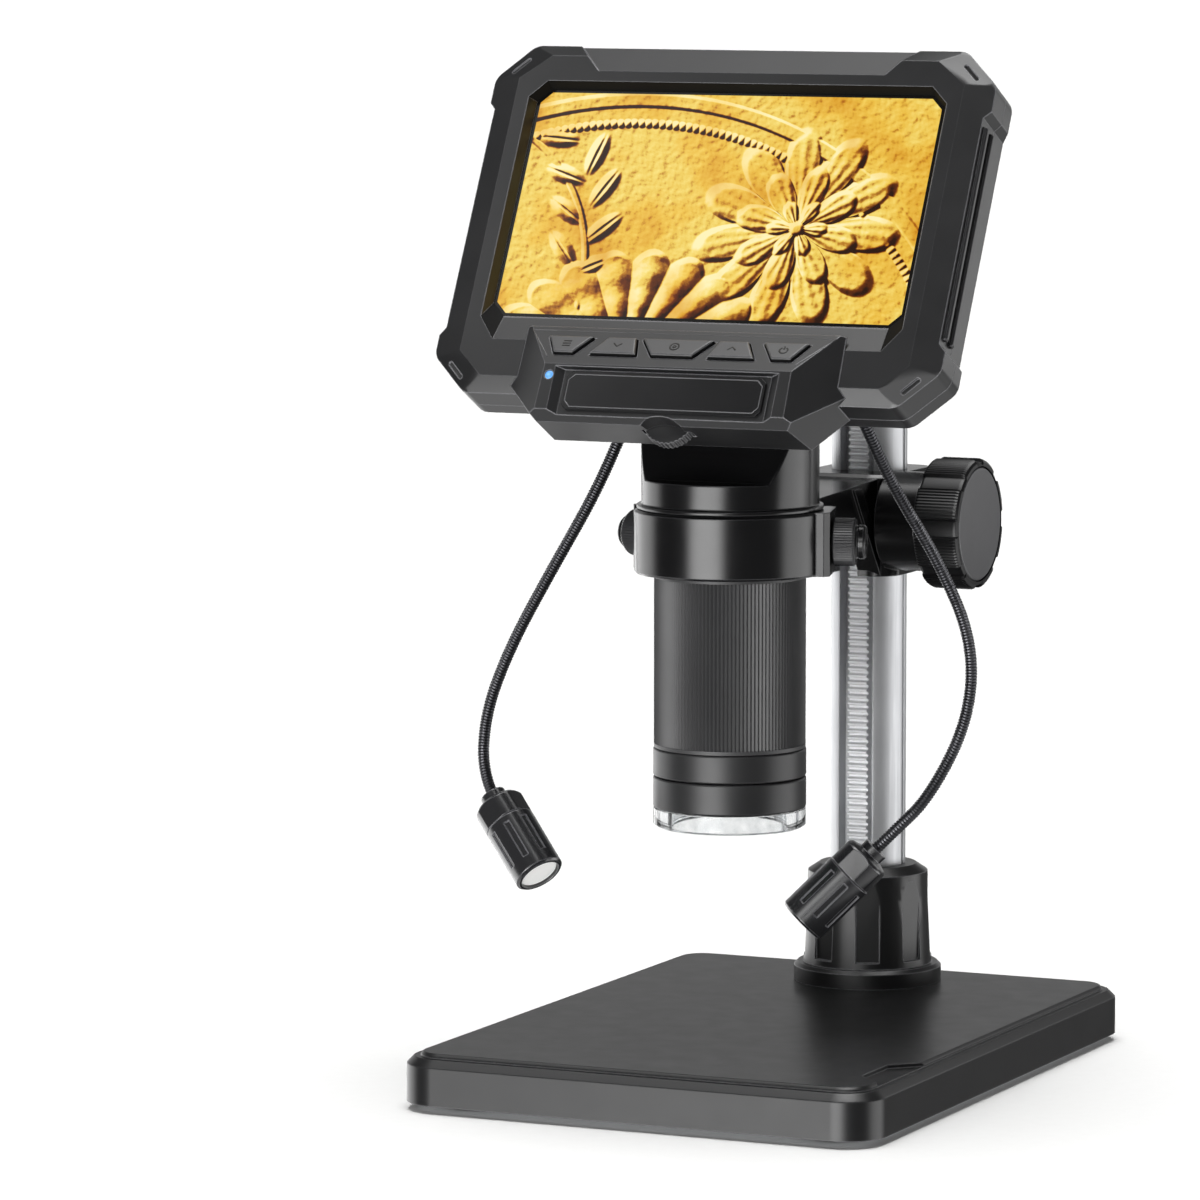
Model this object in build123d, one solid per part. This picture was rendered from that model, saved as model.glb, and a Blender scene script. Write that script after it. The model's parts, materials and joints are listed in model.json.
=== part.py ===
"""LCD digital microscope on a rack-and-pinion column stand.

Frame: millimetres, +Z up, origin under the middle of the base on the surface it
stands on. The screen looks towards -Y and +X is on the viewer's right.
"""
import os
from math import cos, pi, radians, sin, sqrt, tan

from build123d import *

# ---------------------------------------------------------------- driving dimensions
# Fits and clearances
RUN = 0.05              # radial clearance of a running fit
SEAT = 0.05             # gap between a piece and the pocket that holds it
PART_GAP = 0.1          # gap between neighbouring faces of two bodies

# Base
BASE_WIDTH = 110.1
BASE_DEPTH = 152.7
BASE_CORNER = 9.0
FOOT_HEIGHT = 1.5
FOOT_RADIUS = 6.0
FOOT_INSET = 13.0
BASE_WALL_TOP = 9.8     # top of the upright edge
BASE_EDGE_CHAMFER = 1.6
PLATEAU_INSET = 3.03    # raised plate, in from the edge
BASE_TOP = 12.37
PLATEAU_CHAMFER = 0.6
BASE_WALL = 2.4
BASE_SKIN = 2.6
WEIGHT_THICKNESS = 6.0
BOSS_RADIUS = 4.0
NOTCH_DEPTH = 6.0       # grip notch in the plate's right edge
NOTCH_LENGTH = 26.0
NOTCH_Y = -51.5
NOTCH_DROP = 0.9

# Screws
SCREW_RADIUS = 1.5
SCREW_HEAD_RADIUS = 2.8
SCREW_HEAD_HEIGHT = 1.7
CASE_SCREW_RADIUS = 0.95
CASE_SCREW_HEAD_RADIUS = 1.8
CASE_SCREW_HEAD_HEIGHT = 1.2

# Column, rack and collar
COLUMN_FROM_BACK = 20.85    # column axis, in from the base's rear edge
COLUMN_RADIUS = 8.5
COLUMN_TOP = 178.0
COLUMN_BORE = 2.5
CHANNEL_WIDTH = 8.0
CHANNEL_FLOOR = 3.8     # from the column axis
SIDE_GROOVE_WIDTH = 0.9
SIDE_GROOVE_DEPTH = 0.7
GEAR_MODULE = 0.5
TOOTH_THINNING = 0.03   # backlash, off each half tooth
PRESSURE_ANGLE = 20.0
ROOT_DEPTH = 1.25       # tooth root below the pitch line, in modules
RACK_WIDTH = 4.6
RACK_FACE = 6.8         # tooth tips, from the column axis
RACK_END_GAP = 1.0
COLUMN_CAP_HEIGHT = 2.0
COLUMN_CAP_LIP = 0.3
COLUMN_CAP_SPIGOT = 6.0
COLUMN_CAP_CHAMFER = 0.6
FLANGE_RADIUS = 16.7
FLANGE_HEIGHT = 4.2
CONE_BOTTOM_RADIUS = 14.75
CONE_TOP_RADIUS = 13.55
CONE_TOP_Z = 37.5
COLLAR_MOUTH_RADIUS = 11.0
COLLAR_TOP_Z = 39.2
COLLAR_PANELS = 8
COLLAR_PANEL_DEPTH = 0.9
COLLAR_PANEL_MARGIN = 1.5
COLLAR_FLANGE_CHAMFER = 0.8
COLLAR_SCREW_CIRCLE = 11.6
COLLAR_SCREW_DEPTH = 8.0

# Carriage
CARRIAGE_Z0 = 106.2
CARRIAGE_Z1 = 129.0
CARRIAGE_HALF_WIDTH = 12.0
CARRIAGE_FRONT_REACH = 16.5     # block's front face, before the column axis
CARRIAGE_WALL = 4.6     # metal behind the column
CARRIAGE_CORNER = 6.0
CARRIAGE_CHAMFER = 0.8
ARM_HALF_WIDTH = 8.5
ARM_TOP_DROP = 0.7      # arm's top at the block, below the block's top
ARM_UNDERSIDE = 1.0     # arm's underside above the ring's lower face
SLANT_TOP_REACH = 32.4  # slanted front edge of the web, before the column axis, at the arm's top
SLANT_BOTTOM_REACH = 15.5       # and at the block's foot
SLANT_RIB_WIDTH = 4.4
SLANT_RIB_HEIGHT = 0.7
RACK_SLOT_HALF_WIDTH = 4.0
RACK_SLOT_TOP = 111.5
PINION_ROOM = 0.5       # free space round the pinion's teeth
SHAFT_ROOM = 0.2        # free space round the shaft between its bushes
SHAFT_Z = 118.5
SHAFT_RADIUS = 2.5
PINION_TEETH = 17
PINION_WIDTH = 4.2
BUSH_RADIUS = 4.0
BUSH_START = 10.0       # inner end of a bush, from the middle
HUB_RADIUS = 11.1
HUB_ROOT = 2.0          # start of a hub inside the block
HUB_END = 20.2
HUB_CHAMFER = 0.8
KNOB_GAP = 0.3
KNOB_RADIUS = 14.65
KNOB_FACE = 31.0
KNOB_LOBES = 8
KNOB_RECESS_WIDTH = 3.5     # flat recess between two lobes
KNOB_RECESS_DEPTH = 0.7
KNOB_CHAMFER = 1.0
KNOB_CAP_RADIUS = 12.7
KNOB_CAP_HEIGHT = 0.9
KNOB_CAP_CHAMFER = 0.35
KNOB_WEB = 1.5          # knob left between its shaft hole and its cap

# Clamp ring and thumb screws
TUBE_Y = -22.9
RING_RADIUS = 20.7
RING_CLEARANCE = 0.15
RING_Z0 = 113.0
RING_Z1 = 126.8
RING_CHAMFER = 0.5
PAD_ANGLE = 17.0        # thumb screws, behind the sides
PAD_REACH = 22.2
PAD_HALF_WIDTH = 7.5
PAD_CHAMFER = 1.2
THUMB_SHANK_RADIUS = 2.0
THUMB_HEAD_RADIUS = 5.2
THUMB_HEAD_END = 27.3
THUMB_NUB_RADIUS = 3.7
THUMB_NUB_END = 29.5
THUMB_NUB_CHAMFER = 0.6
THUMB_RIDGES = 28
THUMB_RIDGE_DEPTH = 0.3

# Camera head
BODY_RADIUS = 19.2
BODY_WALL = 1.8
BODY_TOP = 166.0
BODY_TOP_CHAMFER = 1.5
FACET_Z = 133.4         # ledge below the slanted facet
CABLE_HOLE_RADIUS = 4.0
SHOULDER_RADIUS = 20.2
SHOULDER_HEIGHT = 1.0
BARREL_RADIUS = 14.0
BARREL_WALL = 2.0
BARREL_TOP = 140.0
BARREL_FLANGE_Z0 = 130.0
BARREL_FLANGE_HEIGHT = 3.0
GRIP_RADIUS = 16.4
GRIP_Z0 = 75.2
GRIP_RIDGES = 120
GRIP_RIDGE_DEPTH = 0.35
GRIP_RIM = 0.8
LIGHT_RING_RADIUS = 16.55
LIGHT_RING_CHAMFER = 0.3
UPPER_RING_Z0 = 69.0
LOWER_RING_Z0 = 62.1
RING_SEAM = 0.15
LENS_RADIUS = 6.3
LENS_HEIGHT = 3.0
LENS_CHAMFER = 0.4
LED_BOARD_THICKNESS = 1.2
LED_BOARD_RECESS = 1.1  # above the lower ring's face
RING_LEDS = 8
RING_LED_CIRCLE = 10.2
RING_LED_RADIUS = 1.0
RING_LED_HEIGHT = 0.9
LED_BOARD_BORE_GAP = 0.4
CAP_BOTTOM = 57.0
CAP_STEP_Z = 58.3
CAP_RADIUS = 16.5
CAP_STEP = 0.6
CAP_WALL = 1.5
CAP_SPIGOT = 0.9        # reach of the push-fit lip inside the lower ring
CAP_NOTCHES = 4
CAP_NOTCH_WIDTH = 13.0
CAP_NOTCH_DEPTH = 0.9
SENSOR_BOARD_Z = 144.0
SENSOR_CHIP = (9.0, 7.0, 1.2)

# Monitor: its own frame has its origin at the screen centre, x to the right,
# y up the screen and z out of the glass
SCREEN_Y = -29.87
SCREEN_Z = 192.05
SCREEN_TILT = 27.64
SCREEN_HALF_WIDTH = 47.6
SCREEN_HALF_HEIGHT = 26.9
SCREEN_CORNER = 3.0
FACE_Z = 2.5            # bezel face above the glass
FACE_SIDE_BEVEL = 6.6   # bevel from the flat face out to the case edge
FACE_TOP_BEVEL = 3.2
FACE_BOTTOM_BEVEL = 3.45
FACE_TOP_CORNER = (6.9, 5.5)
FACE_BOTTOM_CORNER = (6.0, 5.6)
WINDOW_SIDE_SLOPE = 1.2 # inner bevel from the glass out to the flat face
WINDOW_TOP_SLOPE = 0.95
WINDOW_BOTTOM_SLOPE = 6.45
WINDOW_CORNER = 3.9
WINDOW_FOOT_CORNER = 5.2
EDGE_Z = 0.6            # outer edge of the bevel
CASE_HALF_WIDTH = 58.6
CASE_TOP = 37.1
CASE_BOTTOM = -45.3
CASE_TOP_CORNER = (8.2, 8.0)
CASE_BOTTOM_CORNER = (8.6, 8.3)
PARTING_Z = -5.9
REAR_EDGE_Z = -10.0
REAR_Z = -14.0
REAR_INSET = 3.2
REAR_STEP = 0.5         # inner ledge behind the rear chamfer
CASE_WALL = 2.0
SIDE_RECESS = 1.5       # sides between the corner bumpers
SIDE_RECESS_TOP = 21.5
SIDE_RECESS_BOTTOM = -30.5
RECESS_END = 1.6        # slant at the recess ends
BAND_FACE_Y = 30.4      # recessed band along the top edge
BAND_HALF_WIDTH = 33.4
BAND_OUTER_HALF_WIDTH = 39.6
BAND_DROP = 0.8
SIDE_RIBS = 2
SIDE_RIB_WIDTH = 1.6
SIDE_RIB_PITCH = 3.4
SIDE_RIB_HEIGHT = 0.9
SIDE_RIB_DROP = 0.8     # first rib, below the bevel's outer edge
SIDE_RIB_CHAMFER = 0.35
SIDE_RIB_END_GAP = 1.5
SLOT_LENGTH = 5.0       # small slots on the corner bumpers
SLOT_WIDTH = 1.0
SLOT_DEPTH = 0.6
SLOT_SIDE_INSET = 6.0   # slot middle, in from the case's side, top and foot
SLOT_TOP_INSET = 5.3
SLOT_FOOT_INSET = 4.85
POD_HALF_WIDTH = 24.0
POD_TOP = -6.0
POD_BOTTOM = -43.5
POD_BACK = -22.3
POD_CHAMFER = 4.0
POD_ROOM_CHAMFER = 3.0
POD_WALL = 2.0

# What the monitor holds
GLASS_THICKNESS = 1.0
GLASS_MARGIN = 2.4      # glass above and below the lit picture
GLASS_SIDE_GAP = 1.0    # glass, in from the panel's sides
LCD_SIDE_GAP = 3.1      # panel to the case's inner wall: sides, top and foot
LCD_TOP_GAP = 5.6
LCD_BOTTOM_GAP = 9.3
LCD_THICKNESS = 3.0
BOARD_THICKNESS = 1.6
BOARD_SIDE_INSET = 4.0  # board, in from the panel's edges
BOARD_END_INSET = 1.0
CHIP_HEIGHT = 1.0
# each chip: its left edge, its lower edge, its width and its height up the screen
CHIPS = [(-30.0, 12.0, 12.0, 12.0), (5.0, 16.0, 9.0, 7.0), (22.0, -20.0, 10.0, 6.0)]
BATTERY_HALF_WIDTH = 30.0
BATTERY_HEIGHT = 42.0
BATTERY_THICKNESS = 4.2
BATTERY_Y = 5.0
BATTERY_ROUND = 1.2
CASE_SCREW_SIDE_INSET = 14.6    # screw, in from the case's side, top and foot
CASE_SCREW_TOP_INSET = 5.3
CASE_SCREW_BOTTOM_INSET = 5.8
CASE_SCREW_TIP = -1.0
CASE_SCREW_HOLE_END = -0.8
CASE_BOSS_RADIUS = 2.2
CASE_BOSS_OVERLAP = 0.2 # boss run into the bezel's plate
USB_WIDTH = 9.2
USB_HEIGHT = 3.4
USB_DEPTH = 7.0
USB_Y = 2.0
USB_RIM = 0.5           # metal round the mouth, across the width
USB_SHEET = 0.4         # and above and below it
USB_BACK = 1.5
USB_TONGUE = (6.4, 0.7, 0.6, 1.0)   # width, thickness, front gap, back gap
CARD_WIDTH = 12.0
CARD_HEIGHT = 1.6
CARD_DEPTH = 12.0
CARD_Y = -16.0
CARD_SLOT_WIDTH = 11.2
CARD_SLOT_HEIGHT = 0.8
CARD_BACK = 1.0

# Button deck, in the monitor's frame
DECK_TOP = -30.4
DECK_TOP_Z = 3.3
DECK_TOP_HALF_WIDTH = 36.9
DECK_FACE_Z = 8.3
DECK_FACE_TOP = -41.0
DECK_FACE_HALF_WIDTH = 28.4
DECK_FACE_BOTTOM = -51.5
DECK_SHOULDER_HALF_WIDTH = 37.7
DECK_SHOULDER_Y = -44.8
DECK_FOOT_HALF_WIDTH = 29.8
DECK_FOOT_Y = -52.5
DECK_LIP_Y = -53.3
DECK_LIP_Z = 5.5
DECK_BACK_Z = -6.6
DECK_WALL = 1.8
DECK_SHOULDER_DROP = 0.3    # shoulder corner, below the bezel's face
DECK_ROOM_GAP = (1.2, 0.5)  # inner room stops short of the slope's top and foot
PANEL_HALF_WIDTH = 23.0
PANEL_TOP = -42.4
PANEL_BOTTOM = -51.2
PANEL_RECESS = 1.2
PANEL_SLOPE = 2.0
PANEL_THICKNESS = 0.6
PANEL_CORNER = 1.2
PANEL_SIDE_GAP = 0.8
PANEL_TOP_GAP = 0.5
PANEL_TOP_SLOPE = 0.4
PANEL_OPEN_FOOT = 3.0   # recess runs out past the lip
BUTTON_TOP = -33.7
BUTTON_BOTTOM = -38.3
BUTTON_GAP = 0.25
BUTTON_PROUD = 0.9
BUTTON_TRAVEL = 0.5
BUTTON_CHAMFER = 0.3
BUTTON_FLANGE = 0.6
BUTTON_BOARD_GAP = 0.15
BUTTON_BOARD_THICKNESS = 0.8
BUTTON_BOARD_MARGIN = 0.5
# name: (top left, top right, bottom left, bottom right), across the deck
BUTTONS = {
    "button_menu": (-30.0, -19.7, -27.3, -22.9),
    "button_down": (-16.1, -9.7, -18.9, -8.3),
    "button_select": (-8.2, 8.2, -4.7, 4.7),
    "button_up": (9.7, 16.1, 8.3, 18.9),
    "button_power": (19.7, 30.0, 22.9, 27.3),
}
STATUS_LED_X = -26.9
STATUS_LED_Y = -43.6
STATUS_LED_RADIUS = 0.95
STATUS_LED_DEPTH = 2.4
STATUS_LED_PROUD = 0.1
STATUS_LED_CHAMFER = 0.3
DIMMER_RADIUS = 6.1
DIMMER_Y = -49.9
DIMMER_Z = 0.9
DIMMER_THICKNESS = 2.6
DIMMER_RIDGES = 36
DIMMER_RIDGE_DEPTH = 0.3
DIMMER_PIN_RADIUS = 1.5
DIMMER_PIN_END = 1.6    # pin past each side of the wheel
DIMMER_GAP = 0.4
SCOOP_RADIUS = 8.0       # finger scoop in the lip over the wheel
SCOOP_RISE = 1.5
BUTTON_WINDOW = (-32.0, 32.0, -41.4, -34.0)   # opening in the bezel under the deck

# Lamps and goosenecks
NECK_RADIUS = 1.3
CORNER_SHARE = 0.45     # part of a straight run that one arc may take
SOCKET_RADIUS = 3.2
SOCKET_LENGTH = 9.0
SOCKET_CHAMFER = 0.8
KNUCKLE_GAP = 0.1
LAMP_RADIUS = 5.6
LAMP_NECK_RADIUS = 2.9
LAMP_NECK = 2.4
LAMP_SHOULDER = 0.8
LAMP_NECK_FLARE = 0.6
LAMP_LEAD = 5.0         # straight end of an arm behind its lamp
LAMP_CAP_END = 8.2
LAMP_END = 22.8
LAMP_SEAM = 0.2
LAMP_WALL = 0.9
LAMP_SPIGOT = 1.9       # barrel's end inside the cap
LAMP_FLATS = 4          # flats round the cap
LAMP_FLAT_DEPTH = 0.5
LAMP_RIM_CHAMFER = 0.5
LAMP_GROOVES = 8
LAMP_GROOVE_MARGIN = (1.6, 3.4)     # plain barrel behind and before the grooves
LAMP_GROOVE_DEPTH = 0.35
LAMP_GROOVE_WIDTH = 1.3
LAMP_LENS_RADIUS = 4.5
LAMP_LENS_RECESS = 0.5
LAMP_LENS_THICKNESS = 1.6
LAMP_LENS_CHAMFER = 0.4
LAMP_LENS_SEAT = 0.6    # ledge that the lens sits on
LAMP_BOARD_DEPTH = 3.0  # board, behind the lens
LAMP_BOARD_THICKNESS = 1.0
LAMP_CHIP = (3.4, 0.8)  # width and height of the light chip
# Each arm: where it leaves the socket, its bend point, the route's corner points
# and the middle of the lamp's back end; then the way the lamp looks
ARMS = {
    "left": {
        "root": (-20.8, -13.8, 157.6),
        "bend": (-28.2, -13.0, 145.6),
        "route": [(-36.2, -13.0, 128.2), (-47.3, -13.1, 110.0), (-57.4, -13.0, 92.6),
                  (-63.5, -13.0, 77.4)],
        "lamp": (-61.1, -14.0, 59.7),
        "aim": (0.649, -0.294, -0.706),
    },
    "right": {
        "root": (20.8, -13.8, 157.6),
        "bend": (26.4, -12.6, 146.4),
        "route": [(30.2, -4.6, 131.2), (37.6, 4.0, 114.4), (43.9, 8.6, 96.6),
                  (43.0, 8.6, 79.4), (35.6, 4.4, 62.6)],
        "lamp": (26.6, -4.0, 51.9),
        "aim": (-0.647, -0.298, -0.702),
    },
}

# ---------------------------------------------------------------- derived places
MONITOR = Plane(
    origin=(0, SCREEN_Y, SCREEN_Z),
    x_dir=(1, 0, 0),
    z_dir=(0, -cos(radians(SCREEN_TILT)), sin(radians(SCREEN_TILT))),
)
FAR = 200.0             # past every edge of the object, for cutting blocks
PAST = 1.0              # how far a cutting shape runs past the face it cuts
COLUMN_Y = BASE_DEPTH / 2 - COLUMN_FROM_BACK
CARRIAGE_FRONT = COLUMN_Y - CARRIAGE_FRONT_REACH
SLANT_TOP_Y = COLUMN_Y - SLANT_TOP_REACH
SLANT_BOTTOM_Y = COLUMN_Y - SLANT_BOTTOM_REACH
FACE_HALF_WIDTH = CASE_HALF_WIDTH - FACE_SIDE_BEVEL
FACE_TOP = CASE_TOP - FACE_TOP_BEVEL
FACE_BOTTOM = CASE_BOTTOM + FACE_BOTTOM_BEVEL
WINDOW_HALF_WIDTH = SCREEN_HALF_WIDTH + WINDOW_SIDE_SLOPE
WINDOW_TOP = SCREEN_HALF_HEIGHT + WINDOW_TOP_SLOPE
WINDOW_BOTTOM = -SCREEN_HALF_HEIGHT - WINDOW_BOTTOM_SLOPE
LCD_HALF_WIDTH = CASE_HALF_WIDTH - SIDE_RECESS - CASE_WALL - LCD_SIDE_GAP
LCD_TOP = CASE_TOP - CASE_WALL - LCD_TOP_GAP
LCD_BOTTOM = CASE_BOTTOM + CASE_WALL + LCD_BOTTOM_GAP
GLASS_HALF_WIDTH = LCD_HALF_WIDTH - GLASS_SIDE_GAP
GLASS_HALF_HEIGHT = SCREEN_HALF_HEIGHT + GLASS_MARGIN
PORT_FACE = -(CASE_HALF_WIDTH - SIDE_RECESS)
PORT_Z = (PARTING_Z + REAR_EDGE_Z) / 2
SHAFT_END = KNOB_FACE - KNOB_CAP_HEIGHT - KNOB_WEB
LAMP_LENS_Z = LAMP_END - LAMP_LENS_RECESS - LAMP_LENS_THICKNESS
LAMP_BOARD_Z = LAMP_LENS_Z - LAMP_BOARD_DEPTH
PLATEAU_Z = BASE_WALL_TOP + BASE_EDGE_CHAMFER
SKIN_Z = BASE_TOP - BASE_SKIN
WEIGHT_TOP = FOOT_HEIGHT + WEIGHT_THICKNESS
PITCH_RADIUS = GEAR_MODULE * PINION_TEETH / 2
TOOTH_PITCH = pi * GEAR_MODULE
SHAFT_Y = COLUMN_Y - RACK_FACE + GEAR_MODULE - PITCH_RADIUS
RING_BORE = BODY_RADIUS + RING_CLEARANCE
GRIP_Z1 = RING_Z0 - 2 * PART_GAP
DECK_SLOPE = (DECK_FACE_Z - DECK_TOP_Z) / (DECK_TOP - DECK_FACE_TOP)
MID = (Align.CENTER, Align.CENTER, Align.MIN)
FROM_FACE = (Align.MIN, Align.CENTER, Align.MIN)


# ---------------------------------------------------------------- small shapes
def disc(radius, z0, z1, x=0.0, y=0.0):
    return Pos(x, y, z0) * Cylinder(radius, z1 - z0, align=MID)


def tube(outer, inner, z0, z1, x=0.0, y=0.0):
    return disc(outer, z0, z1, x, y) - disc(inner, z0 - PAST, z1 + PAST, x, y)


def cone(radius0, radius1, z0, z1, x=0.0, y=0.0):
    return Pos(x, y, z0) * Cone(radius0, radius1, z1 - z0, align=MID)


def block(x0, x1, y0, y1, z0, z1):
    return Pos((x0 + x1) / 2, (y0 + y1) / 2, z0) * Box(x1 - x0, y1 - y0, z1 - z0, align=MID)


def rounded_block(width, depth, corner, z0, z1):
    return Pos(0, 0, z0) * extrude(RectangleRounded(width, depth, corner), z1 - z0)


def outline(points):
    return make_face(Polyline(*points, close=True))


def prism(points, z0, z1):
    return Pos(0, 0, z0) * extrude(outline(points), z1 - z0)


def taper(points0, z0, points1, z1):
    faces = [Pos(0, 0, z0) * outline(points0), Pos(0, 0, z1) * outline(points1)]
    return loft(faces, ruled=True)


def ring_points(count, radius_at):
    """Points round a circle; radius_at gives the radius of each by its number."""
    turn = [2 * pi * i / count for i in range(count)]
    return [(radius_at(i) * cos(a), radius_at(i) * sin(a)) for i, a in enumerate(turn)]


def ridged_points(radius, depth, ridges):
    return ring_points(2 * ridges, lambda i: radius - depth * (i % 2))


def along(axis_point, direction, shape):
    """Place a shape built along +Z so that it starts at a point and runs in a direction."""
    return Plane(origin=axis_point, z_dir=direction).location * shape


def joined(shapes):
    total = shapes[0]
    for shape in shapes[1:]:
        total = total + shape
    return total


def group(shapes):
    """Separate solids of one node."""
    return Compound(children=[solid for shape in shapes for solid in shape.solids()])


# ---------------------------------------------------------------- base
def inset_base(inset, z0, z1):
    size = (BASE_WIDTH - 2 * inset, BASE_DEPTH - 2 * inset)
    return rounded_block(*size, BASE_CORNER - inset, z0, z1)


def base_screw_places():
    x = BASE_WIDTH / 2 - FOOT_INSET - FOOT_RADIUS - BOSS_RADIUS
    y = BASE_DEPTH / 2 - FOOT_INSET - FOOT_RADIUS - BOSS_RADIUS
    return [(sx * x, sy * y) for sx in (-1, 1) for sy in (-1, 1)]


def collar_screw_places():
    reach = COLLAR_SCREW_CIRCLE / sqrt(2)
    return [(sx * reach, COLUMN_Y + sy * reach) for sx in (-1, 1) for sy in (-1, 1)]


def grip_notch():
    edge = BASE_WIDTH / 2 - PLATEAU_INSET
    inner = edge - NOTCH_DEPTH
    half = NOTCH_LENGTH / 2
    points = [
        (inner, NOTCH_Y - half + NOTCH_DEPTH),
        (edge + PAST, NOTCH_Y - half - PAST),
        (edge + PAST, NOTCH_Y + half + PAST),
        (inner, NOTCH_Y + half - NOTCH_DEPTH),
    ]
    return prism(points, BASE_TOP - NOTCH_DROP, BASE_TOP + PAST)


def make_base_shell():
    body = inset_base(0, FOOT_HEIGHT, PLATEAU_Z)
    body = chamfer(body.faces().sort_by(Axis.Z)[-1].edges(), BASE_EDGE_CHAMFER)
    plate = inset_base(PLATEAU_INSET, PLATEAU_Z - PAST, BASE_TOP)
    plate = chamfer(plate.faces().sort_by(Axis.Z)[-1].edges(), PLATEAU_CHAMFER)
    shell = body + plate - inset_base(BASE_WALL, FOOT_HEIGHT - PAST, SKIN_Z)
    bosses = [disc(BOSS_RADIUS, WEIGHT_TOP, SKIN_Z, x, y) for x, y in base_screw_places()]
    pad = disc(FLANGE_RADIUS, WEIGHT_TOP, SKIN_Z, 0, COLUMN_Y)
    pad = pad & inset_base(BASE_WALL, WEIGHT_TOP, SKIN_Z)
    shell = joined([shell, pad] + bosses)
    bore = SCREW_RADIUS + RUN
    for x, y in base_screw_places():
        shell = shell - disc(bore, WEIGHT_TOP - PAST, SKIN_Z, x, y)
    for x, y in collar_screw_places():
        shell = shell - disc(bore, WEIGHT_TOP - PAST, BASE_TOP + PAST, x, y)
    return shell - grip_notch()


def make_base_weight():
    plate = inset_base(BASE_WALL + SEAT, FOOT_HEIGHT, WEIGHT_TOP)
    for x, y in base_screw_places() + collar_screw_places():
        plate = plate - disc(SCREW_RADIUS + RUN, 0, WEIGHT_TOP + PAST, x, y)
        plate = plate - disc(SCREW_HEAD_RADIUS + RUN, 0, FOOT_HEIGHT + SCREW_HEAD_HEIGHT, x, y)
    return plate


def make_rubber_feet():
    x = BASE_WIDTH / 2 - FOOT_INSET
    y = BASE_DEPTH / 2 - FOOT_INSET
    feet = [disc(FOOT_RADIUS, 0, FOOT_HEIGHT, sx * x, sy * y) for sx in (-1, 1) for sy in (-1, 1)]
    return group(feet)


def screw(x, y, top):
    head = disc(SCREW_HEAD_RADIUS, FOOT_HEIGHT, FOOT_HEIGHT + SCREW_HEAD_HEIGHT, x, y)
    return head + disc(SCREW_RADIUS, FOOT_HEIGHT, top, x, y)


def make_base_screws():
    return group([screw(x, y, SKIN_Z - SEAT) for x, y in base_screw_places()])


def make_collar_screws():
    top = BASE_TOP + COLLAR_SCREW_DEPTH - SEAT
    return group([screw(x, y, top) for x, y in collar_screw_places()])


# ---------------------------------------------------------------- column
def make_column_collar():
    flange = disc(FLANGE_RADIUS, BASE_TOP, BASE_TOP + FLANGE_HEIGHT, 0, COLUMN_Y)
    flange = chamfer(flange.edges().sort_by(Axis.Z)[-1], COLLAR_FLANGE_CHAMFER)
    body = cone(CONE_BOTTOM_RADIUS, CONE_TOP_RADIUS, BASE_TOP, CONE_TOP_Z, 0, COLUMN_Y)
    mouth = cone(CONE_TOP_RADIUS, COLLAR_MOUTH_RADIUS, CONE_TOP_Z, COLLAR_TOP_Z, 0, COLUMN_Y)
    collar = flange + body + mouth
    panel_z0 = BASE_TOP + FLANGE_HEIGHT + COLLAR_PANEL_MARGIN
    panel_height = CONE_TOP_Z - COLLAR_PANEL_MARGIN - panel_z0
    width = 2 * pi * CONE_TOP_RADIUS / COLLAR_PANELS / 2
    lean = (CONE_BOTTOM_RADIUS - CONE_TOP_RADIUS) / (CONE_TOP_Z - BASE_TOP)
    floor = CONE_BOTTOM_RADIUS - lean * (panel_z0 - BASE_TOP) - COLLAR_PANEL_DEPTH
    for i in range(COLLAR_PANELS):
        angle = 360 * (i + 0.5) / COLLAR_PANELS
        cut = Pos(floor, 0, panel_z0) * Box(FLANGE_RADIUS, width, panel_height, align=FROM_FACE)
        collar = collar - Pos(0, COLUMN_Y, 0) * Rot(0, 0, angle) * cut
    collar = collar - disc(COLUMN_RADIUS + SEAT, BASE_TOP - PAST, COLLAR_TOP_Z + PAST, 0, COLUMN_Y)
    for x, y in collar_screw_places():
        collar = collar - disc(SCREW_RADIUS + RUN, BASE_TOP - PAST, BASE_TOP + COLLAR_SCREW_DEPTH, x, y)
    return collar


def make_column():
    column = disc(COLUMN_RADIUS, BASE_TOP, COLUMN_TOP, 0, COLUMN_Y)
    column = column - disc(COLUMN_BORE, BASE_TOP - PAST, COLUMN_TOP + PAST, 0, COLUMN_Y)
    front = COLUMN_Y - COLUMN_RADIUS - PAST
    half = CHANNEL_WIDTH / 2
    floor = COLUMN_Y - CHANNEL_FLOOR
    column = column - block(-half, half, front, floor, BASE_TOP - PAST, COLUMN_TOP + PAST)
    half = SIDE_GROOVE_WIDTH / 2
    deep = COLUMN_RADIUS - SIDE_GROOVE_DEPTH
    for side in (-1, 1):
        inner, outer = sorted((side * deep, side * (COLUMN_RADIUS + PAST)))
        groove = block(inner, outer, COLUMN_Y - half, COLUMN_Y + half, BASE_TOP - PAST, COLUMN_TOP + PAST)
        column = column - groove
    return column


def tooth_flanks(pitch, depth):
    """Half widths of a tooth at its root and at its tip, with backlash."""
    middle = pitch / 4 - TOOTH_THINNING
    slope = tan(radians(PRESSURE_ANGLE))
    return middle + slope * depth / 2, middle - slope * depth / 2


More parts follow.
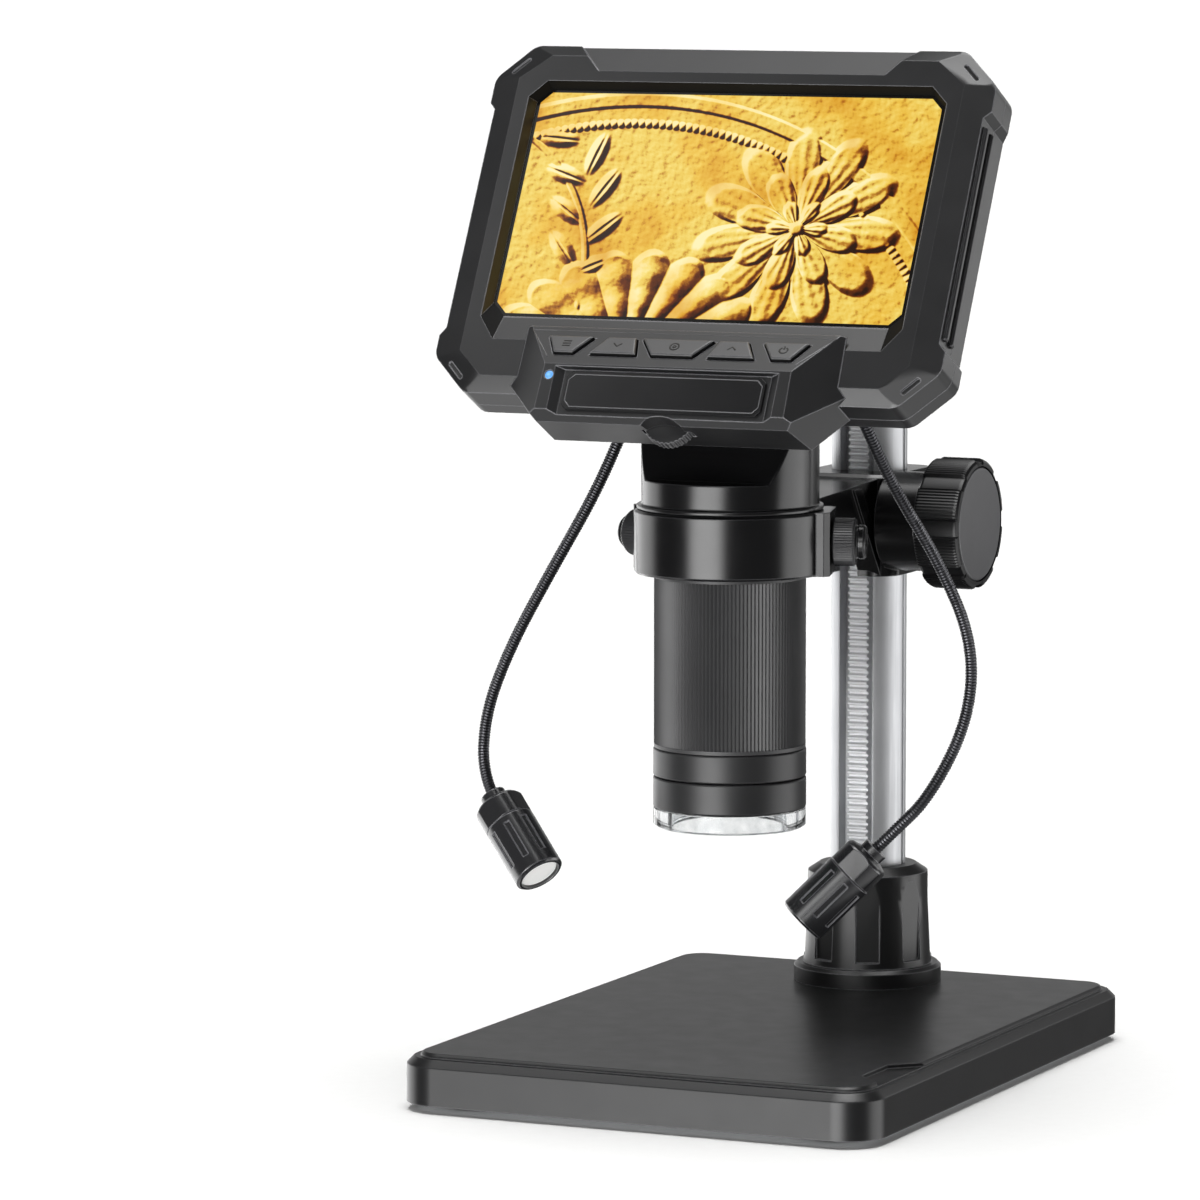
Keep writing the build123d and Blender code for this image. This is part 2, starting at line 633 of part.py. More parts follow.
def make_gear_rack():
    back = COLUMN_Y - CHANNEL_FLOOR
    tip = COLUMN_Y - RACK_FACE
    root = tip + (1 + ROOT_DEPTH) * GEAR_MODULE
    top = COLUMN_TOP - RACK_END_GAP
    wide, narrow = tooth_flanks(TOOTH_PITCH, 2.0 * GEAR_MODULE)
    points = [(root, COLLAR_TOP_Z), (root, BASE_TOP), (back, BASE_TOP), (back, top), (root, top)]
    count = int((top - COLLAR_TOP_Z) / TOOTH_PITCH)
    first = SHAFT_Z - TOOTH_PITCH * int((SHAFT_Z - COLLAR_TOP_Z) / TOOTH_PITCH - 1)
    teeth = []
    for i in range(count):
        z = first + i * TOOTH_PITCH
        if z + wide < top:
            teeth += [(root, z - wide), (tip, z - narrow), (tip, z + narrow), (root, z + wide)]
    points += list(reversed(teeth))
    return side_view_plate(points, RACK_WIDTH / 2)


def make_column_cap():
    lip = disc(COLUMN_RADIUS + COLUMN_CAP_LIP, COLUMN_TOP, COLUMN_TOP + COLUMN_CAP_HEIGHT, 0, COLUMN_Y)
    lip = chamfer(lip.edges().sort_by(Axis.Z)[-1], COLUMN_CAP_CHAMFER)
    return lip + disc(COLUMN_BORE - SEAT, COLUMN_TOP - COLUMN_CAP_SPIGOT, COLUMN_TOP, 0, COLUMN_Y)


# ---------------------------------------------------------------- carriage
def x_disc(radius, x0, x1):
    """Disc round the pinion shaft's line."""
    return Pos(x0, SHAFT_Y, SHAFT_Z) * Rot(0, 90, 0) * Cylinder(radius, x1 - x0, align=MID)


def slant_y(z):
    """Y of the web's slanted front edge at a height."""
    share = (CARRIAGE_Z1 - z) / (CARRIAGE_Z1 - CARRIAGE_Z0)
    return SLANT_TOP_Y + share * (SLANT_BOTTOM_Y - SLANT_TOP_Y)


def arm_profile():
    """Side view of the arm and the web under it, from the ring to the block."""
    ring_back = TUBE_Y + RING_RADIUS - RING_CHAMFER - PAST
    underside = RING_Z0 + ARM_UNDERSIDE
    inside_block = CARRIAGE_FRONT + CARRIAGE_CORNER
    return [
        (ring_back, RING_Z1 - RING_CHAMFER),
        (SLANT_TOP_Y + SLANT_RIB_WIDTH, CARRIAGE_Z1 - 2 * ARM_TOP_DROP),
        (inside_block, CARRIAGE_Z1 - ARM_TOP_DROP),
        (inside_block, CARRIAGE_Z0),
        (slant_y(CARRIAGE_Z0), CARRIAGE_Z0),
        (slant_y(underside), underside),
        (ring_back, underside),
    ]


def slant_rib_profile():
    """Raised band along the web's slanted front edge."""
    top = CARRIAGE_Z1 - 3 * ARM_TOP_DROP
    return [
        (slant_y(top), top),
        (slant_y(top) + SLANT_RIB_WIDTH, top),
        (slant_y(CARRIAGE_Z0) + SLANT_RIB_WIDTH, CARRIAGE_Z0),
        (slant_y(CARRIAGE_Z0), CARRIAGE_Z0),
    ]


def side_view_plate(points, half_width):
    """Plate drawn in side view, with the same width to the left and the right."""
    face = Plane.YZ * outline(points)
    return Pos(-half_width, 0, 0) * extrude(face, 2 * half_width, dir=(1, 0, 0))


def pad_direction(side):
    return (side * cos(radians(PAD_ANGLE)), sin(radians(PAD_ANGLE)), 0)


def thumb_line(side, radius):
    """Point on a thumb screw's line at a distance from the tube's axis."""
    dx, dy, _ = pad_direction(side)
    return (dx * radius, TUBE_Y + dy * radius, (RING_Z0 + RING_Z1) / 2)


def clamp_pad(side):
    """Flat-faced boss on the ring that a thumb screw runs through."""
    pad = Pos(PAD_REACH / 2, 0, RING_Z0)
    pad = pad * Box(PAD_REACH, 2 * PAD_HALF_WIDTH, RING_Z1 - RING_Z0, align=MID)
    pad = chamfer(pad.edges().filter_by(Axis.Z), PAD_CHAMFER)
    angle = PAD_ANGLE if side > 0 else 180 - PAD_ANGLE
    return Pos(0, TUBE_Y, 0) * Rot(0, 0, angle) * pad


def carriage_block():
    back = COLUMN_Y + COLUMN_RADIUS + CARRIAGE_WALL
    width = CARRIAGE_HALF_WIDTH
    body = block(-width, width, CARRIAGE_FRONT, back, CARRIAGE_Z0, CARRIAGE_Z1)
    body = fillet(body.edges().filter_by(Axis.Z), CARRIAGE_CORNER)
    return chamfer(body.faces().sort_by(Axis.Z)[-1].edges(), CARRIAGE_CHAMFER)


def shaft_hub(side):
    hub = x_disc(HUB_RADIUS, *sorted((side * (CARRIAGE_HALF_WIDTH - HUB_ROOT), side * HUB_END)))
    outer_face = hub.faces().sort_by(Axis.X)[-1 if side > 0 else 0]
    return chamfer(outer_face.edges(), HUB_CHAMFER)


def make_carriage():
    arm = side_view_plate(arm_profile(), ARM_HALF_WIDTH)
    rib = side_view_plate(slant_rib_profile(), ARM_HALF_WIDTH + SLANT_RIB_HEIGHT)
    ring = disc(RING_RADIUS, RING_Z0, RING_Z1, 0, TUBE_Y)
    ring = chamfer(ring.edges().filter_by(GeomType.CIRCLE), RING_CHAMFER)
    hubs = [shaft_hub(side) for side in (-1, 1)]
    pads = [clamp_pad(side) for side in (-1, 1)]
    carriage = joined([carriage_block(), arm, rib, ring] + hubs + pads)
    carriage = carriage - disc(RING_BORE, RING_Z0 - PAST, CARRIAGE_Z1, 0, TUBE_Y)
    for side in (-1, 1):
        hole = Cylinder(THUMB_SHANK_RADIUS + RUN, PAD_REACH, align=MID)
        start = RING_BORE - THUMB_SHANK_RADIUS
        carriage = carriage - along(thumb_line(side, start), pad_direction(side), hole)
    bore = COLUMN_RADIUS + RUN
    carriage = carriage - disc(bore, CARRIAGE_Z0 - PAST, HUB_RADIUS + SHAFT_Z + PAST, 0, COLUMN_Y)
    slot = RACK_SLOT_HALF_WIDTH
    carriage = carriage - block(-slot, slot, 0, COLUMN_Y, CARRIAGE_Z0 - PAST, RACK_SLOT_TOP)
    teeth_room = PITCH_RADIUS + GEAR_MODULE + PINION_ROOM
    half = PINION_WIDTH / 2 + PINION_ROOM
    carriage = carriage - x_disc(teeth_room, -half, half)
    carriage = carriage - x_disc(SHAFT_RADIUS + SHAFT_ROOM, -HUB_END - PAST, HUB_END + PAST)
    for x0, x1 in ((-HUB_END - PAST, -BUSH_START), (BUSH_START, HUB_END + PAST)):
        carriage = carriage - x_disc(BUSH_RADIUS + SEAT, x0, x1)
    return carriage


def make_shaft_bushes():
    bushes = []
    for x0, x1 in ((-HUB_END, -BUSH_START), (BUSH_START, HUB_END)):
        bushes.append(x_disc(BUSH_RADIUS, x0, x1) - x_disc(SHAFT_RADIUS + RUN, x0 - PAST, x1 + PAST))
    return group(bushes)


def make_pinion_shaft():
    return x_disc(SHAFT_RADIUS, -SHAFT_END, SHAFT_END)


def make_pinion_gear():
    """Straight-flanked teeth; one gap faces a rack tooth at rest."""
    tip = PITCH_RADIUS + GEAR_MODULE
    root = PITCH_RADIUS - ROOT_DEPTH * GEAR_MODULE
    wide, narrow = tooth_flanks(TOOTH_PITCH, (1 + ROOT_DEPTH) * GEAR_MODULE)
    points = []
    for i in range(PINION_TEETH):
        middle = 2 * pi * (i + 0.5) / PINION_TEETH
        for half, radius in ((-wide, root), (-narrow, tip), (narrow, tip), (wide, root)):
            angle = middle + half / PITCH_RADIUS
            points.append((SHAFT_Y + radius * cos(angle), SHAFT_Z + radius * sin(angle)))
    gear = side_view_plate(points, PINION_WIDTH / 2)
    return gear - x_disc(SHAFT_RADIUS + SEAT, -PINION_WIDTH, PINION_WIDTH)


def make_focus_knob(side):
    """Eight-lobed knob, built along +Z from the hub outwards."""
    length = KNOB_FACE - HUB_END - KNOB_GAP
    knob = Cylinder(KNOB_RADIUS, length, align=MID)
    knob = chamfer(knob.edges().filter_by(GeomType.CIRCLE), KNOB_CHAMFER)
    recess = Box(KNOB_RADIUS, KNOB_RECESS_WIDTH, length + 2 * PAST, align=FROM_FACE)
    recess = Pos(KNOB_RADIUS - KNOB_RECESS_DEPTH, 0, -PAST) * recess
    for i in range(KNOB_LOBES):
        knob = knob - Rot(0, 0, 360 * i / KNOB_LOBES) * recess
    seat = length - KNOB_CAP_HEIGHT
    knob = knob - Pos(0, 0, seat) * Cylinder(KNOB_CAP_RADIUS + SEAT, KNOB_CAP_HEIGHT + PAST, align=MID)
    start = side * (HUB_END + KNOB_GAP)
    knob = knob - Cylinder(SHAFT_RADIUS + SEAT, SHAFT_END - abs(start) + SEAT, align=MID)
    return along((start, SHAFT_Y, SHAFT_Z), (side, 0, 0), knob)


def make_knob_caps():
    caps = []
    for side in (-1, 1):
        cap = Cylinder(KNOB_CAP_RADIUS, KNOB_CAP_HEIGHT, align=MID)
        cap = chamfer(cap.edges().sort_by(Axis.Z)[-1], KNOB_CAP_CHAMFER)
        start = (side * (KNOB_FACE - KNOB_CAP_HEIGHT), SHAFT_Y, SHAFT_Z)
        caps.append(along(start, (side, 0, 0), cap))
    return group(caps)


def make_thumb_screw(side):
    start = BODY_RADIUS + PART_GAP
    head_start = PAD_REACH + PART_GAP - start
    head_end = THUMB_HEAD_END - start
    shank = Cylinder(THUMB_SHANK_RADIUS, head_start + PAST, align=MID)
    knurl = ridged_points(THUMB_HEAD_RADIUS, THUMB_RIDGE_DEPTH, THUMB_RIDGES)
    head = prism(knurl, head_start, head_end)
    nub = disc(THUMB_NUB_RADIUS, head_end, THUMB_NUB_END - start)
    nub = chamfer(nub.edges().sort_by(Axis.Z)[-1], THUMB_NUB_CHAMFER)
    return along(thumb_line(side, start), pad_direction(side), joined([shank, head, nub]))


# ---------------------------------------------------------------- camera head
def slanted_room(behind=0.0, below=0.0):
    """Everything in front of the plane where the monitor's pod sits, above the ledge."""
    size = 12 * BODY_RADIUS
    front = MONITOR.location * Pos(0, 0, POD_BACK - behind) * Box(size, size, size, align=MID)
    return front & disc(size, FACET_Z - below, BODY_TOP + PAST, 0, TUBE_Y)


def pod_middle():
    return (POD_TOP + POD_BOTTOM) / 2


def make_camera_body():
    body = disc(BODY_RADIUS, RING_Z0, BODY_TOP, 0, TUBE_Y)
    body = chamfer(body.edges().sort_by(Axis.Z)[-1], BODY_TOP_CHAMFER)
    shoulder_z = RING_Z1 + PART_GAP
    body = body + disc(SHOULDER_RADIUS, shoulder_z, shoulder_z + SHOULDER_HEIGHT, 0, TUBE_Y)
    room = disc(BODY_RADIUS - BODY_WALL, RING_Z0 - PAST, BODY_TOP - BODY_WALL, 0, TUBE_Y)
    room = room - slanted_room(BODY_WALL, BODY_WALL)
    body = body - slanted_room() - room
    hole = MONITOR.location * Pos(0, pod_middle(), POD_BACK - 2 * BODY_WALL)
    return body - hole * Cylinder(CABLE_HOLE_RADIUS, 3 * BODY_WALL, align=MID)


def head_room():
    """What lies past the inner face of the camera body's slanted wall."""
    return slanted_room(BODY_WALL + SEAT, BODY_WALL + SEAT)


def led_board_top():
    return LOWER_RING_Z0 + LED_BOARD_RECESS + LED_BOARD_THICKNESS


def make_lens_barrel():
    floor_z = led_board_top()
    inner = BARREL_RADIUS - BARREL_WALL
    barrel = disc(BARREL_RADIUS, floor_z, BARREL_TOP, 0, TUBE_Y)
    barrel = barrel - disc(inner, floor_z + BARREL_WALL, BARREL_TOP + PAST, 0, TUBE_Y)
    mouth_z1 = floor_z + BARREL_WALL + PAST
    barrel = barrel - disc(LENS_RADIUS + SEAT, floor_z - PAST, mouth_z1, 0, TUBE_Y)
    flange_z1 = BARREL_FLANGE_Z0 + BARREL_FLANGE_HEIGHT
    flange_radius = BODY_RADIUS - BODY_WALL - SEAT
    flange = tube(flange_radius, inner, BARREL_FLANGE_Z0, flange_z1, 0, TUBE_Y)
    return barrel + flange - head_room()


def make_focus_grip():
    ridges = ridged_points(GRIP_RADIUS, GRIP_RIDGE_DEPTH, GRIP_RIDGES)
    core = Pos(0, TUBE_Y, 0) * prism(ridges, GRIP_Z0, GRIP_Z1)
    rims = [disc(GRIP_RADIUS, z, z + GRIP_RIM, 0, TUBE_Y) for z in (GRIP_Z0, GRIP_Z1 - GRIP_RIM)]
    grip = joined([core] + rims)
    return grip - disc(BARREL_RADIUS + RUN, GRIP_Z0 - PAST, GRIP_Z1 + PAST, 0, TUBE_Y)


def light_ring(z0, z1):
    ring = disc(LIGHT_RING_RADIUS, z0, z1, 0, TUBE_Y)
    ring = chamfer(ring.edges().filter_by(GeomType.CIRCLE), LIGHT_RING_CHAMFER)
    return ring - disc(BARREL_RADIUS + SEAT, z0 - PAST, z1 + PAST, 0, TUBE_Y)


def make_upper_light_ring():
    return light_ring(UPPER_RING_Z0, GRIP_Z0 - PART_GAP)


def make_lower_light_ring():
    return light_ring(LOWER_RING_Z0, UPPER_RING_Z0 - RING_SEAM)


def make_led_ring_board():
    z0 = LOWER_RING_Z0 + LED_BOARD_RECESS
    bore = LENS_RADIUS + LED_BOARD_BORE_GAP
    board = tube(BARREL_RADIUS, bore, z0, z0 + LED_BOARD_THICKNESS, 0, TUBE_Y)
    for i in range(RING_LEDS):
        angle = 2 * pi * i / RING_LEDS
        x = RING_LED_CIRCLE * cos(angle)
        y = TUBE_Y + RING_LED_CIRCLE * sin(angle)
        board = board + disc(RING_LED_RADIUS, z0 - RING_LED_HEIGHT, z0, x, y)
    return board


def make_objective_lens():
    z0 = led_board_top()
    lens = disc(LENS_RADIUS, z0, z0 + LENS_HEIGHT, 0, TUBE_Y)
    return chamfer(lens.edges().filter_by(GeomType.CIRCLE), LENS_CHAMFER)


def make_clear_cap():
    top = LOWER_RING_Z0 - PART_GAP
    wide = disc(CAP_RADIUS, CAP_STEP_Z, top, 0, TUBE_Y)
    foot = disc(CAP_RADIUS - CAP_STEP, CAP_BOTTOM, top, 0, TUBE_Y)
    lip_top = LOWER_RING_Z0 + CAP_SPIGOT
    lip = disc(BARREL_RADIUS - 2 * RUN, top, lip_top, 0, TUBE_Y)
    cap = wide + foot + lip - disc(BARREL_RADIUS - CAP_WALL, CAP_BOTTOM - PAST, lip_top + PAST, 0, TUBE_Y)
    for i in range(CAP_NOTCHES):
        notch = Box(CAP_NOTCH_WIDTH, 4 * CAP_RADIUS, 2 * CAP_NOTCH_DEPTH)
        cap = cap - Pos(0, TUBE_Y, CAP_BOTTOM) * Rot(0, 0, 180 * (i + 0.25) / CAP_NOTCHES) * notch
    return cap


def make_sensor_board():
    radius = BODY_RADIUS - BODY_WALL - SEAT
    board = disc(radius, SENSOR_BOARD_Z, SENSOR_BOARD_Z + BOARD_THICKNESS, 0, TUBE_Y)
    width, depth, height = SENSOR_CHIP
    chip = Pos(0, TUBE_Y, SENSOR_BOARD_Z - height) * Box(width, depth, height, align=MID)
    return board + chip - head_room()


# ---------------------------------------------------------------- monitor
def cut_corners(half_width, top, bottom, top_corner, bottom_corner):
    """Outline of a plate with slanted corners."""
    tx, ty = top_corner
    bx, by = bottom_corner
    return [
        (-half_width + tx, top), (half_width - tx, top), (half_width, top - ty),
        (half_width, bottom + by), (half_width - bx, bottom), (-half_width + bx, bottom),
        (-half_width, bottom + by), (-half_width, top - ty),
    ]


def case_outline(inset=0.0):
    return cut_corners(
        CASE_HALF_WIDTH - inset, CASE_TOP - inset, CASE_BOTTOM + inset,
        CASE_TOP_CORNER, CASE_BOTTOM_CORNER,
    )


def face_outline():
    return cut_corners(FACE_HALF_WIDTH, FACE_TOP, FACE_BOTTOM, FACE_TOP_CORNER, FACE_BOTTOM_CORNER)


def side_recess(side, grow=0.0):
    """The stretch of a side between its two corner bumpers."""
    outer = CASE_HALF_WIDTH + 3 * SIDE_RECESS
    inner = CASE_HALF_WIDTH - SIDE_RECESS + grow
    top, bottom = SIDE_RECESS_TOP, SIDE_RECESS_BOTTOM
    slant = RECESS_END * (outer - inner) / SIDE_RECESS
    points = [(inner, bottom), (outer, bottom - slant), (outer, top + slant), (inner, top)]
    return prism([(side * x, y) for x, y in points], REAR_Z - PAST, FACE_Z + PAST)


def top_band():
    """The shallow band between the two top bumpers."""
    wide = 2 * BAND_OUTER_HALF_WIDTH - BAND_HALF_WIDTH
    high = 2 * CASE_TOP - BAND_FACE_Y
    points = [
        (-BAND_HALF_WIDTH, BAND_FACE_Y), (BAND_HALF_WIDTH, BAND_FACE_Y),
        (wide, high), (-wide, high),
    ]
    wedge = prism(points, -2 * FACE_Z, 2 * FACE_Z)
    drop = FACE_Z - EDGE_Z + BAND_DROP
    slope = Plane(
        origin=(0, BAND_FACE_Y, FACE_Z),
        x_dir=(1, 0, 0),
        z_dir=(0, drop, CASE_TOP - BAND_FACE_Y),
    )
    return wedge & (slope.location * Box(FAR, FAR, FAR, align=MID))


def corner_slots():
    slots = []
    x = CASE_HALF_WIDTH - SLOT_SIDE_INSET
    floor = (FACE_Z + EDGE_Z) / 2 - SLOT_DEPTH
    slot = extrude(SlotOverall(SLOT_LENGTH, SLOT_WIDTH), FACE_Z + PAST - floor)
    for side in (-1, 1):
        for y, angle in ((CASE_TOP - SLOT_TOP_INSET, -45), (CASE_BOTTOM + SLOT_FOOT_INSET, 45)):
            slots.append(Pos(side * x, y, floor) * Rot(0, 0, side * angle) * slot)
    return joined(slots)


def case_screw_places():
    x = CASE_HALF_WIDTH - CASE_SCREW_SIDE_INSET
    heights = (CASE_TOP - CASE_SCREW_TOP_INSET, CASE_BOTTOM + CASE_SCREW_BOTTOM_INSET)
    return [(side * x, y) for side in (-1, 1) for y in heights]


def make_front_bezel():
    shell = prism(case_outline(), PARTING_Z, EDGE_Z)
    shell = shell + taper(case_outline(), EDGE_Z, face_outline(), FACE_Z)
    screen = cut_corners(
        SCREEN_HALF_WIDTH, SCREEN_HALF_HEIGHT, -SCREEN_HALF_HEIGHT,
        (SCREEN_CORNER, SCREEN_CORNER), (SCREEN_CORNER, SCREEN_CORNER),
    )
    window = cut_corners(
        WINDOW_HALF_WIDTH, WINDOW_TOP, WINDOW_BOTTOM,
        (WINDOW_CORNER, WINDOW_CORNER), (WINDOW_CORNER, WINDOW_FOOT_CORNER),
    )
    shell = shell - taper(screen, 0, window, FACE_Z)
    shell = shell - prism(case_outline(CASE_WALL), PARTING_Z - PAST, 0)
    places = case_screw_places()
    bosses = [disc(CASE_BOSS_RADIUS, PARTING_Z, CASE_BOSS_OVERLAP, x, y) for x, y in places]
    shell = joined([shell] + bosses)
    for x, y in places:
        shell = shell - disc(CASE_SCREW_RADIUS + RUN, PARTING_Z - PAST, CASE_SCREW_HOLE_END, x, y)
    for side in (-1, 1):
        shell = shell - side_recess(side)
    shell = shell - top_band() - corner_slots()
    shell = shell - block(*BUTTON_WINDOW, -PAST, FACE_Z + PAST)
    shell = shell - dimmer_room(DIMMER_RADIUS + DIMMER_GAP, DIMMER_THICKNESS / 2 + DIMMER_GAP / 2)
    return MONITOR.location * shell


def pod_outline():
    c = POD_CHAMFER
    return cut_corners(POD_HALF_WIDTH, POD_TOP, POD_BOTTOM, (c, c), (c, c))


def make_rear_cover():
    shell = prism(case_outline(), REAR_EDGE_Z, PARTING_Z)
    shell = shell + taper(case_outline(REAR_INSET), REAR_Z, case_outline(), REAR_EDGE_Z)
    shell = shell - prism(case_outline(CASE_WALL), REAR_EDGE_Z, PARTING_Z + PAST)
    rear_room = case_outline(CASE_WALL + REAR_INSET)
    shell = shell - prism(rear_room, REAR_Z + CASE_WALL, REAR_EDGE_Z + REAR_STEP)
    pod = prism(pod_outline(), POD_BACK, REAR_Z + CASE_WALL)
    shell = shell + pod
    wall = POD_WALL
    corner = (POD_ROOM_CHAMFER, POD_ROOM_CHAMFER)
    room = cut_corners(POD_HALF_WIDTH - wall, POD_TOP - wall, POD_BOTTOM + wall, corner, corner)
    shell = shell - prism(room, POD_BACK + wall, REAR_Z + CASE_WALL + PAST)
    shell = shell - disc(CABLE_HOLE_RADIUS, POD_BACK - PAST, POD_BACK + wall + PAST, 0, pod_middle())
    bosses = [disc(CASE_BOSS_RADIUS, REAR_Z, PARTING_Z, x, y) for x, y in case_screw_places()]
    shell = joined([shell] + bosses)
    for x, y in case_screw_places():
        shell = shell - disc(CASE_SCREW_RADIUS + RUN, REAR_Z - PAST, PARTING_Z + PAST, x, y)
        head_top = REAR_Z + 2 * CASE_SCREW_HEAD_HEIGHT
        shell = shell - disc(CASE_SCREW_HEAD_RADIUS + RUN, REAR_Z - PAST, head_top, x, y)
    for side in (-1, 1):
        shell = shell - side_recess(side)
    shell = shell - usb_room(SEAT) - card_room(SEAT)
    return MONITOR.location * shell


def side_port(y, length, height, depth, grow):
    """Room for a connector in the left side, opening outwards."""
    return block(
        PORT_FACE - grow, PORT_FACE + depth + grow,
        y - length / 2 - grow, y + length / 2 + grow,
        PORT_Z - height / 2 - grow, PORT_Z + height / 2 + grow,
    )


def usb_room(grow):
    return side_port(USB_Y, USB_WIDTH, USB_HEIGHT, USB_DEPTH, grow)


def card_room(grow):
    return side_port(CARD_Y, CARD_WIDTH, CARD_HEIGHT, CARD_DEPTH, grow)


def make_usb_socket():
    inwards = Plane(origin=(PORT_FACE, USB_Y, PORT_Z), x_dir=(0, 1, 0), z_dir=(1, 0, 0))
    opening = SlotOverall(USB_WIDTH - 2 * USB_RIM, USB_HEIGHT - 2 * USB_SHEET)
    mouth = inwards.location * extrude(opening, USB_DEPTH - USB_BACK)
    width, thickness, front, back = USB_TONGUE
    tongue = Pos(0, 0, front) * Box(width, thickness, USB_DEPTH - front - back, align=MID)
    return MONITOR.location * (usb_room(0) - mouth + inwards.location * tongue)


def make_card_socket():
    slot = side_port(CARD_Y, CARD_SLOT_WIDTH, CARD_SLOT_HEIGHT, CARD_DEPTH - CARD_BACK, 0)
    return MONITOR.location * (card_room(0) - slot)


def make_side_grips():
    """Ribs along both sides, seated on the recessed walls."""
    ribs = []
    low = SIDE_RECESS_BOTTOM + SIDE_RIB_END_GAP
    high = SIDE_RECESS_TOP - SIDE_RIB_END_GAP
    base = CASE_HALF_WIDTH - SIDE_RECESS
    for side in (-1, 1):
        for i in range(SIDE_RIBS):
            z1 = EDGE_Z - SIDE_RIB_DROP - i * SIDE_RIB_PITCH
            x0, x1 = sorted((side * base, side * (base + SIDE_RIB_HEIGHT)))
            rib = block(x0, x1, low, high, z1 - SIDE_RIB_WIDTH, z1)
            outer = rib.faces().sort_by(Axis.X)[-1 if side > 0 else 0]
            ribs.append(chamfer(outer.edges(), SIDE_RIB_CHAMFER))
    return MONITOR.location * group(ribs)


def make_cover_glass():
    width, height = GLASS_HALF_WIDTH, GLASS_HALF_HEIGHT
    return MONITOR.location * block(-width, width, -height, height, -GLASS_THICKNESS, 0)


def make_lcd_panel():
    z1 = -GLASS_THICKNESS
    panel = block(-LCD_HALF_WIDTH, LCD_HALF_WIDTH, LCD_BOTTOM, LCD_TOP, z1 - LCD_THICKNESS, z1)
    return MONITOR.location * panel


def make_main_board():
    half = LCD_HALF_WIDTH - BOARD_SIDE_INSET
    low, high = LCD_BOTTOM + BOARD_END_INSET, LCD_TOP - BOARD_END_INSET
    z1 = -GLASS_THICKNESS - LCD_THICKNESS
    z0 = z1 - BOARD_THICKNESS
    board = block(-half, half, low, high, z0, z1)
    for x, y, width, height in CHIPS:
        board = board + block(x, x + width, y, y + height, z0 - CHIP_HEIGHT, z0)
    return MONITOR.location * board


def make_battery():
    size = (2 * BATTERY_HALF_WIDTH, BATTERY_HEIGHT, BATTERY_THICKNESS)
    battery = Pos(0, BATTERY_Y, REAR_Z + CASE_WALL) * Box(*size, align=MID)
    return MONITOR.location * fillet(battery.edges().filter_by(Axis.Y), BATTERY_ROUND)


def make_case_screws():
    screws = []
    for x, y in case_screw_places():
        head_top = REAR_Z + 2 * CASE_SCREW_HEAD_HEIGHT
        head = disc(CASE_SCREW_HEAD_RADIUS, head_top - CASE_SCREW_HEAD_HEIGHT, head_top, x, y)
        screws.append(head + disc(CASE_SCREW_RADIUS, head_top, CASE_SCREW_TIP, x, y))
    return MONITOR.location * group(screws)


# ---------------------------------------------------------------- button deck
def half_space(p1, p2, p3, inside):
    """A big block on the far side of the plane through three points, to cut away."""
    a, b, c = Vector(*p1), Vector(*p2), Vector(*p3)
    normal = (b - a).cross(c - a)
    if normal.dot(Vector(*inside) - a) > 0:
        normal = -normal
    return Plane(origin=a, z_dir=normal).location * Box(2 * FAR, 2 * FAR, FAR, align=MID)


def deck_solid(inset=0.0):
    """The deck's outer form; an inset gives the room inside it."""
    i = inset
    face = DECK_FACE_Z - i
    middle = (0, DECK_SHOULDER_Y, (DECK_BACK_Z + DECK_FACE_Z) / 2)
    shoulder = DECK_SHOULDER_HALF_WIDTH
    reach = shoulder + 2 * PAST
    body = block(-reach, reach, DECK_LIP_Y - PAST, DECK_TOP - i, DECK_BACK_Z + i, face)
    top_edge = [(x, DECK_TOP, DECK_TOP_Z - i) for x in (0, 1)]
    lip_edge = [(x, DECK_LIP_Y + i, DECK_LIP_Z) for x in (0, 1)]
    cuts = [
        half_space(*top_edge, (0, DECK_FACE_TOP, face), middle),
        half_space(*lip_edge, (0, DECK_FOOT_Y + i, DECK_BACK_Z), middle),
        half_space(*lip_edge, (0, DECK_FACE_BOTTOM + i, DECK_FACE_Z), middle),
    ]
    for side in (-1, 1):
        corner = (side * (shoulder - i), DECK_SHOULDER_Y, FACE_Z - DECK_SHOULDER_DROP)
        top_corner = (side * (DECK_TOP_HALF_WIDTH - i), DECK_TOP, FACE_Z)
        face_corner = (side * (DECK_FACE_HALF_WIDTH - i), DECK_FACE_TOP, DECK_FACE_Z)
        foot = [(side * (DECK_FOOT_HALF_WIDTH - i), DECK_FOOT_Y, z) for z in (DECK_BACK_Z, DECK_FACE_Z)]
        cuts.append(half_space(top_corner, corner, face_corner, middle))
        cuts.append(half_space(corner, *foot, middle))
    for cut in cuts:
        body = body - cut
    return body


def monitor_room():
    """The monitor's bezel, as the room it takes out of the deck."""
    room = prism(case_outline(), DECK_BACK_Z - PAST, EDGE_Z)
    return room + taper(case_outline(), EDGE_Z, face_outline(), FACE_Z)


def button_plane():
    """On the deck's sloping button face, x across and y up the face."""
    run = DECK_TOP - DECK_FACE_TOP
    rise = DECK_FACE_Z - DECK_TOP_Z
    return Plane(origin=(0, DECK_TOP, DECK_TOP_Z), x_dir=(1, 0, 0), z_dir=(0, rise, run))


def button_face_y(y):
    """A height on the monitor, measured along the sloping face instead."""
    return (y - DECK_TOP) * sqrt(1 + DECK_SLOPE ** 2)


def button_outline(name, grow=0.0):
    """A button's edge on the sloping face; grow widens it all round."""
    top, bottom = button_face_y(BUTTON_TOP), button_face_y(BUTTON_BOTTOM)
    tl, tr, bl, br = BUTTONS[name]
    face = outline([(tl, top), (tr, top), (br, bottom), (bl, bottom)])
    return offset(face, grow, kind=Kind.INTERSECTION) if grow else face


def on_button_face(shape):
    return button_plane().location * shape


def button_prism(name, grow, z0, z1):
    return on_button_face(Pos(0, 0, z0) * extrude(button_outline(name, grow), z1 - z0))


